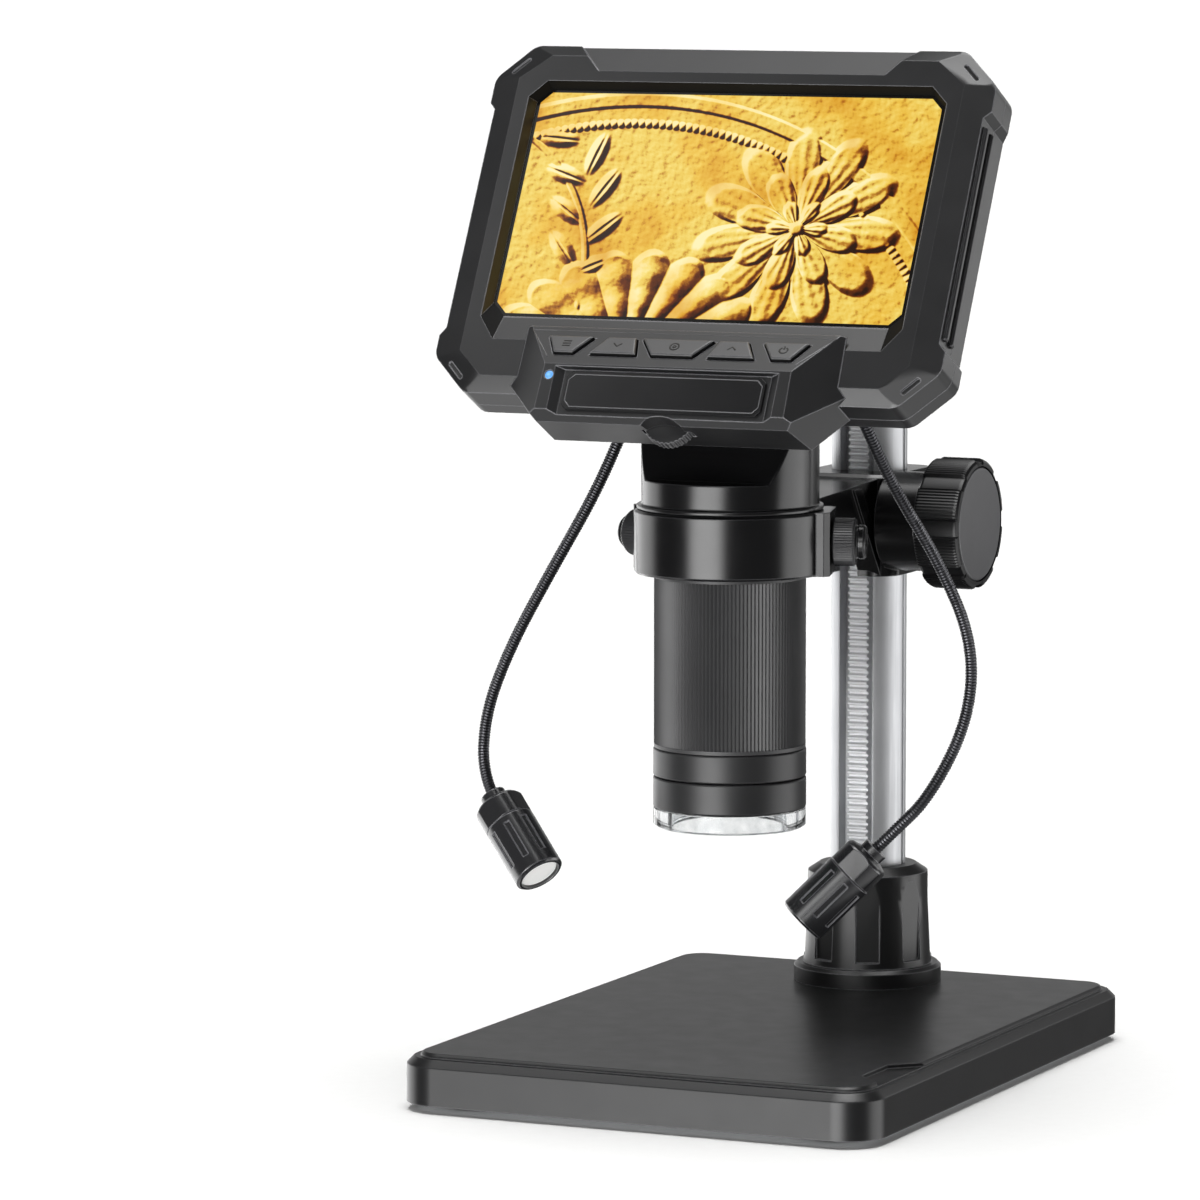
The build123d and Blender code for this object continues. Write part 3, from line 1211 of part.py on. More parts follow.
def button_board_z():
    """Top of the button board, below the sloping face."""
    return -(DECK_WALL + BUTTON_FLANGE + BUTTON_TRAVEL + BUTTON_BOARD_GAP)


def panel_recess():
    floor_half = PANEL_HALF_WIDTH + PANEL_SIDE_GAP
    face_half = floor_half + PANEL_SLOPE
    low, high = PANEL_BOTTOM - PANEL_OPEN_FOOT, PANEL_TOP + PANEL_TOP_GAP
    face_high = high + PANEL_TOP_SLOPE
    floor = [(-floor_half, low), (floor_half, low), (floor_half, high), (-floor_half, high)]
    face = [(-face_half, low), (face_half, low), (face_half, face_high), (-face_half, face_high)]
    room = taper(floor, DECK_FACE_Z - PANEL_RECESS, face, DECK_FACE_Z)
    return room + prism(face, DECK_FACE_Z, DECK_FACE_Z + PAST)


def dimmer_room(radius, half):
    return disc(radius, DIMMER_Z - half, DIMMER_Z + half, 0, DIMMER_Y)


def make_button_deck():
    deck = deck_solid() - monitor_room()
    inside = deck_solid(DECK_WALL)
    gap_top, gap_foot = DECK_ROOM_GAP
    low, high = DECK_FACE_TOP - gap_foot, DECK_TOP - gap_top
    deck = deck - (inside & block(-FAR, FAR, low, high, FACE_Z - PAST, DECK_FACE_Z))
    deck = deck - panel_recess()
    for name in BUTTONS:
        deck = deck - button_prism(name, BUTTON_GAP, -DECK_WALL - PAST, 2 * PAST)
    led_floor = DECK_FACE_Z - STATUS_LED_DEPTH - SEAT
    hole = disc(STATUS_LED_RADIUS + SEAT, led_floor, DECK_FACE_Z + PAST, STATUS_LED_X, STATUS_LED_Y)
    deck = deck - hole
    scoop_y = DECK_LIP_Y + SCOOP_RISE - SCOOP_RADIUS
    deck = deck - disc(SCOOP_RADIUS, DIMMER_Z, DECK_FACE_Z + PAST, 0, scoop_y)
    deck = deck - dimmer_room(DIMMER_RADIUS + DIMMER_GAP, DIMMER_THICKNESS / 2 + DIMMER_GAP / 2)
    deck = deck - dimmer_room(DIMMER_PIN_RADIUS + RUN, DIMMER_THICKNESS / 2 + DIMMER_PIN_END + SEAT)
    return MONITOR.location * deck


def make_deck_panel():
    z0 = DECK_FACE_Z - PANEL_RECESS
    corner = (PANEL_CORNER, PANEL_CORNER)
    points = cut_corners(PANEL_HALF_WIDTH, PANEL_TOP, PANEL_BOTTOM, corner, corner)
    return MONITOR.location * prism(points, z0, z0 + PANEL_THICKNESS)


def make_button(name):
    cap = button_prism(name, 0, -DECK_WALL, BUTTON_PROUD)
    outwards = Axis(button_plane().origin, button_plane().z_dir)
    cap = chamfer(cap.faces().sort_by(outwards)[-1].edges(), BUTTON_CHAMFER)
    flange_top = -DECK_WALL - PART_GAP
    flange = button_prism(name, BUTTON_FLANGE, flange_top - BUTTON_FLANGE, flange_top)
    neck = button_prism(name, 0, -DECK_WALL - BUTTON_FLANGE, 0)
    return MONITOR.location * joined([cap, neck, flange])


def make_button_board():
    top = button_board_z()
    low, high = button_face_y(BUTTON_BOTTOM), button_face_y(BUTTON_TOP)
    half = max(abs(x) for corners in BUTTONS.values() for x in corners)
    margin = BUTTON_BOARD_MARGIN
    board = block(
        -half - margin, half + margin, low - margin, high + margin,
        top - BUTTON_BOARD_THICKNESS, top,
    )
    return MONITOR.location * on_button_face(board)


def make_status_led():
    floor, top = DECK_FACE_Z - STATUS_LED_DEPTH, DECK_FACE_Z + STATUS_LED_PROUD
    led = disc(STATUS_LED_RADIUS, floor, top, STATUS_LED_X, STATUS_LED_Y)
    return MONITOR.location * chamfer(led.edges().sort_by(Axis.Z)[-1], STATUS_LED_CHAMFER)


def make_dimmer_wheel():
    half = DIMMER_THICKNESS / 2
    ridges = ridged_points(DIMMER_RADIUS, DIMMER_RIDGE_DEPTH, DIMMER_RIDGES)
    wheel = prism(ridges, DIMMER_Z - half, DIMMER_Z + half)
    reach = half + DIMMER_PIN_END
    pin = disc(DIMMER_PIN_RADIUS, DIMMER_Z - reach, DIMMER_Z + reach)
    return MONITOR.location * Pos(0, DIMMER_Y, 0) * (wheel + pin)


# ---------------------------------------------------------------- lamps
def unit(a, b):
    return (Vector(*b) - Vector(*a)).normalized()


def make_lamp_sockets():
    sockets = []
    for arm in ARMS.values():
        root, bend = arm["root"], arm["bend"]
        back = Vector(*root) - unit(root, bend) * SOCKET_LENGTH
        barrel = Cylinder(SOCKET_RADIUS, SOCKET_LENGTH, align=MID)
        barrel = chamfer(barrel.edges().sort_by(Axis.Z)[-1], SOCKET_CHAMFER)
        socket = along(back, unit(root, bend), barrel)
        sockets.append(socket - disc(BODY_RADIUS, RING_Z1, BODY_TOP + SOCKET_LENGTH, 0, TUBE_Y))
    return group([s.solids().sort_by(SortBy.VOLUME)[-1] for s in sockets])


def make_gooseneck_upper():
    """Short fixed ends with the ball that each arm bends on."""
    pieces = []
    for arm in ARMS.values():
        root, bend = Vector(*arm["root"]), Vector(*arm["bend"])
        way = (bend - root).normalized()
        length = (bend - root).length
        rod = Cylinder(NECK_RADIUS, length - NECK_RADIUS - KNUCKLE_GAP, align=MID)
        pin = Cylinder(NECK_RADIUS / 2, length, align=MID)
        ball = Pos(0, 0, length) * Sphere(NECK_RADIUS - KNUCKLE_GAP)
        pieces.append(along(root, way, joined([rod, pin, ball])))
    return group(pieces)


def arm_path(side):
    arm = ARMS[side]
    bend = Vector(*arm["bend"])
    first = Vector(*arm["route"][0])
    start = bend + (first - bend).normalized() * (NECK_RADIUS + KNUCKLE_GAP)
    lamp, aim = Vector(*arm["lamp"]), Vector(*arm["aim"]).normalized()
    end = [lamp - aim * LAMP_LEAD, lamp + aim * (LAMP_NECK - SEAT)]
    return [start] + [Vector(*p) for p in arm["route"]] + end


def corner_radii(points):
    """The largest arc at each corner that leaves a little of the shorter run straight."""
    radii = []
    for before, corner, after in zip(points, points[1:], points[2:]):
        run_in, run_out = corner - before, after - corner
        half_turn = radians(run_in.get_angle(run_out)) / 2
        radii.append(CORNER_SHARE * min(run_in.length, run_out.length) / tan(half_turn))
    return radii


def make_gooseneck(side):
    points = arm_path(side)
    path = FilletPolyline(*points, radius=corner_radii(points))
    section = Plane(origin=path @ 0, z_dir=path % 0) * Circle(NECK_RADIUS)
    return sweep(section, path)


def lamp_place(side, shape):
    arm = ARMS[side]
    return along(arm["lamp"], arm["aim"], shape)


def make_lamp_cap(side):
    points = [
        (0, 0), (LAMP_NECK_RADIUS, 0), (LAMP_NECK_RADIUS, LAMP_NECK - LAMP_NECK_FLARE),
        (LAMP_RADIUS - LAMP_SHOULDER, LAMP_NECK), (LAMP_RADIUS, LAMP_NECK + LAMP_SHOULDER),
        (LAMP_RADIUS, LAMP_CAP_END), (0, LAMP_CAP_END),
    ]
    cap = revolve(Plane.XZ * outline(points), Axis.Z)
    floor = LAMP_CAP_END - LAMP_SPIGOT - SEAT
    cap = cap - disc(LAMP_RADIUS - LAMP_WALL, floor, LAMP_CAP_END + PAST)
    cap = cap - disc(NECK_RADIUS + SEAT, -PAST, LAMP_NECK)
    flat = Box(LAMP_RADIUS, 2 * LAMP_RADIUS, LAMP_CAP_END + PAST, align=FROM_FACE)
    flat = Pos(LAMP_RADIUS - LAMP_FLAT_DEPTH, 0, -PAST) * flat
    for i in range(LAMP_FLATS):
        cap = cap - Rot(0, 0, 360 * i / LAMP_FLATS) * flat
    return lamp_place(side, cap)


def make_lamp_barrel(side):
    start = LAMP_CAP_END + LAMP_SEAM
    barrel = disc(LAMP_RADIUS, start, LAMP_END)
    barrel = chamfer(barrel.edges().sort_by(Axis.Z)[-1], LAMP_RIM_CHAMFER)
    spigot = LAMP_RADIUS - LAMP_WALL - SEAT
    barrel = barrel + disc(spigot, LAMP_CAP_END - LAMP_SPIGOT, start)
    behind, before = LAMP_GROOVE_MARGIN
    length = LAMP_END - start - behind - before
    groove = Box(LAMP_RADIUS, LAMP_GROOVE_WIDTH, length, align=FROM_FACE)
    groove = Pos(LAMP_RADIUS - LAMP_GROOVE_DEPTH, 0, start + behind) * groove
    for i in range(LAMP_GROOVES):
        barrel = barrel - Rot(0, 0, 360 * (i + 0.5) / LAMP_GROOVES) * groove
    barrel = barrel - disc(LAMP_LENS_RADIUS + SEAT, LAMP_LENS_Z, LAMP_END + PAST)
    bore = LAMP_LENS_RADIUS - LAMP_LENS_SEAT
    floor = LAMP_CAP_END - LAMP_SPIGOT - PAST
    return lamp_place(side, barrel - disc(bore, floor, LAMP_LENS_Z + PAST))


def make_lamp_lens(side):
    lens = disc(LAMP_LENS_RADIUS, LAMP_LENS_Z, LAMP_LENS_Z + LAMP_LENS_THICKNESS)
    return lamp_place(side, chamfer(lens.edges().sort_by(Axis.Z)[-1], LAMP_LENS_CHAMFER))


def make_lamp_board(side):
    radius = LAMP_LENS_RADIUS - LAMP_LENS_SEAT - SEAT
    board = disc(radius, LAMP_BOARD_Z - LAMP_BOARD_THICKNESS, LAMP_BOARD_Z)
    width, height = LAMP_CHIP
    chip = Pos(0, 0, LAMP_BOARD_Z) * Box(width, width, height, align=MID)
    return lamp_place(side, board + chip)


# ---------------------------------------------------------------- all nodes
def make_nodes():
    nodes = {
        "base_shell": make_base_shell(),
        "base_weight": make_base_weight(),
        "rubber_feet": make_rubber_feet(),
        "base_screws": make_base_screws(),
        "column_collar": make_column_collar(),
        "collar_screws": make_collar_screws(),
        "column": make_column(),
        "gear_rack": make_gear_rack(),
        "column_cap": make_column_cap(),
        "carriage": make_carriage(),
        "shaft_bushes": make_shaft_bushes(),
        "pinion_shaft": make_pinion_shaft(),
        "pinion_gear": make_pinion_gear(),
        "focus_knob_left": make_focus_knob(-1),
        "focus_knob_right": make_focus_knob(1),
        "knob_caps": make_knob_caps(),
        "thumb_screw_left": make_thumb_screw(-1),
        "thumb_screw_right": make_thumb_screw(1),
        "camera_body": make_camera_body(),
        "lens_barrel": make_lens_barrel(),
        "focus_grip": make_focus_grip(),
        "light_ring_upper": make_upper_light_ring(),
        "light_ring_lower": make_lower_light_ring(),
        "led_ring_board": make_led_ring_board(),
        "objective_lens": make_objective_lens(),
        "clear_cap": make_clear_cap(),
        "sensor_board": make_sensor_board(),
        "monitor_front_bezel": make_front_bezel(),
        "monitor_rear_cover": make_rear_cover(),
        "side_grips": make_side_grips(),
        "cover_glass": make_cover_glass(),
        "lcd_panel": make_lcd_panel(),
        "main_board": make_main_board(),
        "battery": make_battery(),
        "case_screws": make_case_screws(),
        "usb_socket": make_usb_socket(),
        "card_socket": make_card_socket(),
        "button_deck": make_button_deck(),
        "deck_panel": make_deck_panel(),
        "button_board": make_button_board(),
        "status_led": make_status_led(),
        "dimmer_wheel": make_dimmer_wheel(),
        "lamp_sockets": make_lamp_sockets(),
        "gooseneck_roots": make_gooseneck_upper(),
    }
    for name in BUTTONS:
        nodes[name] = make_button(name)
    for side in ARMS:
        nodes["gooseneck_" + side] = make_gooseneck(side)
        nodes["lamp_cap_" + side] = make_lamp_cap(side)
        nodes["lamp_barrel_" + side] = make_lamp_barrel(side)
        nodes["lamp_lens_" + side] = make_lamp_lens(side)
        nodes["lamp_board_" + side] = make_lamp_board(side)
    return nodes


def main():
    os.makedirs("parts", exist_ok=True)
    for side in ARMS:
        print(side, "arm radii", [round(r, 1) for r in corner_radii(arm_path(side))])
    for name, shape in make_nodes().items():
        export_step(shape, f"parts/{name}.step")


if __name__ == "__main__":
    main()
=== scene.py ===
"""Desk microscope with a tilted screen, a focusing carriage and two flexible lamps."""
import json
from math import cos, pi, radians, sin

import bmesh
import bpy
from bpy.props import FloatProperty, FloatVectorProperty, IntProperty, PointerProperty
from mathutils import Euler, Matrix, Vector

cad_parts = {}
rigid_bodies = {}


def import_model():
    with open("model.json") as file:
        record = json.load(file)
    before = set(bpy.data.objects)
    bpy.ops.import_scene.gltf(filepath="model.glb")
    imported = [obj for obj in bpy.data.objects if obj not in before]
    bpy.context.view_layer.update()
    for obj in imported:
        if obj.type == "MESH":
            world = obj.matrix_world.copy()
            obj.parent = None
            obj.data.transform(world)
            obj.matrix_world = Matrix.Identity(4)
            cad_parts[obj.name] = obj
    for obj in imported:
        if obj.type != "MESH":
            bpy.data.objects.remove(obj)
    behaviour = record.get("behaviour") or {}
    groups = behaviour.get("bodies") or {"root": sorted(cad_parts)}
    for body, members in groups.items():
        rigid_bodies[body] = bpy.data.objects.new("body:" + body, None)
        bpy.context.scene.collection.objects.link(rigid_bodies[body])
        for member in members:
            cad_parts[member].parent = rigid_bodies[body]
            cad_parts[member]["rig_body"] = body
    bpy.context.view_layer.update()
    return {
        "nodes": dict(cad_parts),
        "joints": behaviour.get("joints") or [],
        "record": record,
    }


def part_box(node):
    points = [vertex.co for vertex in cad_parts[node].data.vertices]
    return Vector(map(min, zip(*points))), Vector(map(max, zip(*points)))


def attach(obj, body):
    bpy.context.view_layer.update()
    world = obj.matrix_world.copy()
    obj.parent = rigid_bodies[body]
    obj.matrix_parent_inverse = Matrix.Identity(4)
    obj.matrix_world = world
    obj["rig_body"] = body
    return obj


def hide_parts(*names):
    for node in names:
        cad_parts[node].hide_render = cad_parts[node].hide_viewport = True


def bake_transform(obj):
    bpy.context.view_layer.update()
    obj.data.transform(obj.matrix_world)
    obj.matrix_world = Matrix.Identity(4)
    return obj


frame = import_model()

bl_info = {
    "name": "Desk microscope",
    "version": (1, 0, 0),
    "blender": (4, 5, 0),
    "location": "3D View > Sidebar > Microscope",
    "description": "Builds the finished pieces of a desk microscope with a screen, and its studio",
    "category": "Object",
}

MM = 0.001


# ---- places taken from the frame
def joint(name):
    return next(j for j in frame["joints"] if j["name"] == name)


def middle(node):
    low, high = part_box(node)
    return (low + high) / 2


ACROSS = Vector((1, 0, 0))
SCREEN_NORMAL = Vector(joint("dimmer_turn")["axis"]).normalized()
SCREEN_UP = SCREEN_NORMAL.cross(ACROSS).normalized()
GLASS_HALF_THICKNESS = 0.5 * MM
SCREEN_CENTRE = middle("cover_glass") + SCREEN_NORMAL * GLASS_HALF_THICKNESS
SCREEN_TURN = Matrix((ACROSS, SCREEN_UP, SCREEN_NORMAL)).transposed()
SHAFT = middle("pinion_shaft")


def on_screen(x, y, z=0.0):
    """A place on the monitor: across, up and out from the glass, in metres."""
    return SCREEN_CENTRE + SCREEN_TURN @ Vector((x, y, z))


def from_screen(place):
    """The same the other way round."""
    return SCREEN_TURN.transposed() @ (place - SCREEN_CENTRE)


# ---- colour and nodes
def srgb(code):
    """Six-digit sRGB hex to linear RGBA."""
    channels = [int(code[i:i + 2], 16) / 255 for i in (1, 3, 5)]
    linear = [c / 12.92 if c <= 0.04045 else ((c + 0.055) / 1.055) ** 2.4 for c in channels]
    return (*linear, 1.0)


def add(tree, kind, inputs=(), stops=(), **settings):
    """Adds a node by its type and operation, with its inputs, by name or listed in order, the
    (position, colour) stops of a colour ramp and its other settings. An input is a value, a hex
    colour, an output, or a node, which gives its first output."""
    kind, _, operation = kind.partition(" ")
    node = tree.nodes.new(kind if kind.startswith("NodeGroup") else "ShaderNode" + kind)
    if operation:
        node.operation = operation
    for name, value in settings.items():
        setattr(node, name, value)
    for socket, value in inputs.items() if isinstance(inputs, dict) else enumerate(inputs):
        if isinstance(value, str):
            value = srgb(value)
        if isinstance(value, bpy.types.Node):
            value = value.outputs[0]
        if isinstance(value, bpy.types.NodeSocket):
            tree.links.new(value, node.inputs[socket])
        else:
            node.inputs[socket].default_value = value
    if stops:
        elements = node.color_ramp.elements
        while len(elements) < len(stops):
            elements.new(1.0)
        for element, (position, colour) in zip(elements, stops):
            element.position = position
            element.color = srgb(colour) if isinstance(colour, str) else colour
    return node


def material(name, shading, *values):
    """A material from a function that builds its shader on a tree, for a place on the piece."""
    made = bpy.data.materials.new(name)
    made.use_nodes = True
    tree = made.node_tree
    tree.nodes.clear()
    place = add(tree, "TexCoord").outputs["Object"]
    add(tree, "OutputMaterial", {"Surface": shading(tree, place, *values)})
    return made


# ---- materials
def moulded_plastic(tree, place, colour, patch, roughness, grain, relief, specular=0.35, edge=None):
    """Injection-moulded ABS: an even colour, cloudier from patch to patch, over a spark-eroded
    grain that breaks up its highlights; grain is the grit spacing and relief its depth, in mm. The
    real grit is near 0.1 mm and is drawn coarser, so that it shows. With an edge colour, corners
    are softly rounded and take that paler colour, a painted highlight along them."""
    cloud = add(tree, "TexNoise", {"Vector": place, "Scale": 1 / (18 * MM), "Detail": 3.0})
    tone = add(tree, "ValToRGB", [cloud], [(0.3, colour), (0.75, patch)])
    grit = add(tree, "TexNoise", {"Vector": place, "Scale": 1 / (grain * MM), "Detail": 2.0})
    smear = add(tree, "TexNoise", {"Vector": place, "Scale": 1 / (6 * MM), "Detail": 4.0})
    rough = add(tree, "MapRange", [smear, 0.3, 0.7, roughness - 0.012, roughness + 0.018])
    normal = add(tree, "Bump", {"Height": grit, "Strength": 0.6, "Distance": relief * MM})
    if edge:
        normal = add(tree, "Bevel", {"Radius": 0.3 * MM, "Normal": normal}, samples=6)
        wide = add(tree, "Bevel", {"Radius": 0.4 * MM}, samples=6)
        flat = add(tree, "NewGeometry").outputs["Normal"]
        turn = add(tree, "VectorMath DOT_PRODUCT", [wide, flat])
        # Where the rounded normal turns away from the flat one, the paler edge colour is mixed in:
        # a painted highlight along the corners
        painted_edge_highlight = add(tree, "MapRange", [turn.outputs["Value"], 0.995, 0.93])
        tone = add(tree, "Mix", {0: painted_edge_highlight, 6: tone, 7: edge}, data_type="RGBA").outputs[2]
    return add(tree, "BsdfPrincipled", {
        "Base Color": tone, "Roughness": rough, "Normal": normal,
        "Specular IOR Level": specular, "IOR": 1.5,
    })


def drawn_metal(tree, place, colour, shade, roughness, spacing, relief):
    """Metal with the long fine upright lines of its drawing or milling, which stretch its
    highlights; spacing is the distance between them and relief their depth, in mm. The real lines
    are less than 0.1 mm apart and are drawn coarser, so that they show."""
    squeeze = add(tree, "Mapping", {"Vector": place, "Scale": (1.0, 1.0, 0.02)})
    lines = add(tree, "TexNoise", {"Vector": squeeze, "Scale": 1 / (spacing * MM), "Detail": 4.0})
    cloud = add(tree, "TexNoise", {"Vector": place, "Scale": 1 / (14 * MM), "Detail": 3.0})
    tone = add(tree, "ValToRGB", [cloud], [(0.3, colour), (0.7, shade)])
    rough = add(tree, "MapRange", [lines, 0.3, 0.7, roughness - 0.05, roughness + 0.07])
    bump = add(tree, "Bump", {"Height": lines, "Strength": 0.5, "Distance": relief * MM})
    return add(tree, "BsdfPrincipled", {
        "Base Color": tone, "Roughness": rough, "Normal": bump, "Metallic": 1.0,
    })


def clear_plastic(tree, place, colour, roughness, index, scratch):
    """Clear moulded acrylic or polished glass: sharp highlights on its edges, dark thin outlines
    and faint hairline scuffs; scratch is their spacing in mm, wider than the real one."""
    scuff = add(tree, "TexNoise", {"Vector": place, "Scale": 1 / (scratch * MM), "Detail": 5.0})
    rough = add(tree, "MapRange", [scuff, 0.35, 0.75, roughness, roughness + 0.08])
    tone = add(tree, "ValToRGB", [scuff], [(0.2, colour), (0.9, "#FFFFFF")])
    return add(tree, "BsdfPrincipled", {
        "Base Color": tone, "Roughness": rough, "Transmission Weight": 1.0, "IOR": index,
    })


def frosted_lens(tree, place, colour, glow):
    """Frosted acrylic lamp window: milky, with a soft sheen and a faint glow of the lamp in it.
    The frosting is drawn at 0.5 mm, coarser than it is, so that it shows."""
    frost = add(tree, "TexNoise", {"Vector": place, "Scale": 1 / (0.5 * MM), "Detail": 3.0})
    tone = add(tree, "ValToRGB", [frost], [(0.3, colour), (0.7, glow)])
    bump = add(tree, "Bump", {"Height": frost, "Strength": 0.4, "Distance": 0.05 * MM})
    return add(tree, "BsdfPrincipled", {
        "Base Color": tone, "Roughness": 0.28, "Normal": bump,
        "Transmission Weight": 0.25, "IOR": 1.49, "Coat Weight": 0.5,
        "Emission Color": "#FFFFFF", "Emission Strength": 0.35,
    })


def fitting_material(tree, place, colour, patch, roughness, metallic, cell):
    """Inner and under parts: circuit board, battery foil, plated steel or rubber, each with the
    mottle of its own process; cell is its size in mm, as coarse as it needs to show."""
    mottle = add(tree, "TexVoronoi", {"Vector": place, "Scale": 1 / (cell * MM)})
    tone = add(tree, "ValToRGB", [mottle], [(0.1, colour), (0.7, patch)])
    bump = add(tree, "Bump", {"Height": mottle, "Strength": 0.3, "Distance": 0.04 * MM})
    return add(tree, "BsdfPrincipled", {
        "Base Color": tone, "Roughness": roughness, "Metallic": metallic, "Normal": bump,
    })


def blue_light(tree, place):
    """Lit indicator of clear epoxy: a white-hot middle in a blue dome."""
    spread = add(tree, "VectorMath DISTANCE", [place, middle("status_led")])
    reach = add(tree, "MapRange", [spread.outputs["Value"], 1.15 * MM, 1.65 * MM])
    glow = add(tree, "ValToRGB", [reach], [
        (0.0, "#F4FBFF"), (0.45, "#7CC4FF"), (1.0, "#1E5FE0")])
    return add(tree, "BsdfPrincipled", {
        "Base Color": "#16305E", "Roughness": 0.25,
        "Emission Color": glow, "Emission Strength": 1.0,
    })


# The embossed picture, in mm from the screen's middle
RIM_CENTRE, RIM_RADIUS, BEAD_RADIUS = (-22.0, -66.0), 91.0, 85.4
SHELL_FOOT = (-15.0, -37.0)
FLOWER_MIDDLE = (19.0, -4.5)
# Each ring of petals: how many, inner and outer reach, height and turn
PETAL_RINGS = ((11, 12.0, 12.5, 1.5, 0.3), (8, 6.5, 10.0, 2.3, 0.9), (6, 2.5, 6.6, 3.0, 0.1))
STEM_CENTRE, STEM_RADIUS = (-70.0, -20.0), 42.0
# Each leaf: its middle and its turn
LEAVES = ((-27.0, -14.5, 0.45), (-34.5, -10.5, 2.3), (-26.0, -5.5, 0.75), (-35.5, -1.5, 2.55),
          (-27.5, 4.0, 1.05), (-37.5, 7.0, 2.8), (-31.0, 12.0, 1.3), (-41.0, 15.5, 3.05))
LEAF_SIZE = (5.8, 2.4, 1.0)


def relief_group():
    """Height of an embossed gold picture at a place on the screen, in mm: a ridged flower, a leafy
    branch, a shell, a beaded rim and small pits."""
    tree = bpy.data.node_groups.new("embossed height", "ShaderNodeTree")
    tree.interface.new_socket("Place", in_out="INPUT", socket_type="NodeSocketVector")
    tree.interface.new_socket("Height", in_out="OUTPUT", socket_type="NodeSocketFloat")
    place = add(tree, "NodeGroupInput").outputs["Place"]
    # Every height falls smoothly to nothing
    falling = {"interpolation_type": "SMOOTHSTEP"}

    def polar(centre, stretch=(1.0, 1.0, 1.0), turn=0.0):
        """Distance from a centre, the angle round it and the way across it."""
        moved = add(tree, "Mapping", {
            "Vector": place, "Location": (*centre, 0.0), "Rotation": (0.0, 0.0, turn),
            "Scale": stretch,
        }, vector_type="TEXTURE")
        flat = add(tree, "VectorMath MULTIPLY", [moved, (1.0, 1.0, 0.0)])
        split = add(tree, "SeparateXYZ", [flat]).outputs
        radius = add(tree, "VectorMath LENGTH", [flat]).outputs["Value"]
        angle = add(tree, "Math ARCTAN2", [split["Y"], split["X"]])
        return radius, angle, split["Y"]

    # A raised rim with beads along it
    radius, angle, _ = polar(RIM_CENTRE)
    off_rim = add(tree, "Math SUBTRACT", [radius, RIM_RADIUS])
    off_rim = add(tree, "Math ABSOLUTE", [off_rim])
    rim = add(tree, "MapRange", [off_rim, 1.2, 2.0, 1.1, 0.0], **falling)
    along = add(tree, "Math MULTIPLY", [angle, 84.0])
    along = add(tree, "Math PINGPONG", [along, 1.6])
    along = add(tree, "Math SUBTRACT", [along, 0.8])
    across = add(tree, "Math SUBTRACT", [radius, BEAD_RADIUS])
    along = add(tree, "Math POWER", [along, 2.0])
    across = add(tree, "Math POWER", [across, 2.0])
    off_bead = add(tree, "Math ADD", [along, across])
    off_bead = add(tree, "Math SQRT", [off_bead])
    bead = add(tree, "MapRange", [off_bead, 0.3, 1.3, 1.2, 0.0], **falling)
    total = add(tree, "Math ADD", [rim, bead])
    motifs = []
    # A fluted shell at the foot, its flutes fanning out
    radius, angle, _ = polar(SHELL_FOOT, (1.25, 1.0, 1.0))
    flute = add(tree, "Math MULTIPLY", [angle, 10.5])
    flute = add(tree, "Math COSINE", [flute])
    flute = add(tree, "Math ABSOLUTE", [flute])
    lip = add(tree, "Math MULTIPLY_ADD", [flute, 2.6, 24.5])
    over = add(tree, "Math SUBTRACT", [radius, lip])
    shell = add(tree, "MapRange", [over, -1.6, 0.2, 1.7, 0.0], **falling)
    curl = add(tree, "Math MULTIPLY", [radius, 0.9])
    curl = add(tree, "Math COSINE", [curl])
    ridge = add(tree, "Math MULTIPLY_ADD", [flute, 0.75, 0.35])
    ridge = add(tree, "Math MULTIPLY_ADD", [curl, 0.12, ridge])
    motifs.append(add(tree, "Math MULTIPLY", [shell, ridge]))
    # Three rings of petals round a pearl, each with veins along it
    radius, angle, _ = polar(FLOWER_MIDDLE)
    for petals, inner, reach, height, phase in PETAL_RINGS:
        turn = add(tree, "Math MULTIPLY_ADD", [angle, petals / 2, phase])
        wave = add(tree, "Math COSINE", [turn])
        wave = add(tree, "Math ABSOLUTE", [wave])
        lobe = add(tree, "Math POWER", [wave, 0.5])
        edge = add(tree, "Math MULTIPLY_ADD", [lobe, reach, inner])
        over = add(tree, "Math SUBTRACT", [radius, edge])
        body = add(tree, "MapRange", [over, -3.4, 0.2, height, 0.0], **falling)
        dish = add(tree, "Math MULTIPLY_ADD", [wave, 0.35, 0.70])
        vein = add(tree, "Math MULTIPLY", [turn, 8.0])
        vein = add(tree, "Math COSINE", [vein])
        dish = add(tree, "Math MULTIPLY_ADD", [vein, 0.05, dish])
        motifs.append(add(tree, "Math MULTIPLY", [body, dish]))
    motifs.append(add(tree, "MapRange", [radius, 0.8, 3.4, 3.8, 0.0], **falling))
    # A bent branch with leaves on both sides
    radius, _, _ = polar(STEM_CENTRE)
    off_stem = add(tree, "Math SUBTRACT", [radius, STEM_RADIUS])
    off_stem = add(tree, "Math ABSOLUTE", [off_stem])
    motifs.append(add(tree, "MapRange", [off_stem, 0.3, 1.0, 1.0, 0.0], **falling))
    for x, y, turn in LEAVES:
        radius, _, across = polar((x, y), LEAF_SIZE, turn)
        blade = add(tree, "MapRange", [radius, 0.3, 1.05, 1.8, 0.0], **falling)
        off_rib = add(tree, "Math ABSOLUTE", [across])
        rib = add(tree, "MapRange", [off_rib, 0.02, 0.2, -0.45, 0.0], **falling)
        motifs.append(add(tree, "Math MULTIPLY_ADD", [blade, rib, blade]))
    for motif in motifs:
        total = add(tree, "Math SMOOTH_MAX", [total, motif, 0.25])
    pits = add(tree, "TexNoise", {"Vector": place, "Scale": 0.55, "Detail": 6.0})
    total = add(tree, "Math MULTIPLY_ADD", [pits, 0.45, total])
    add(tree, "NodeGroupOutput", {"Height": total})
    return tree


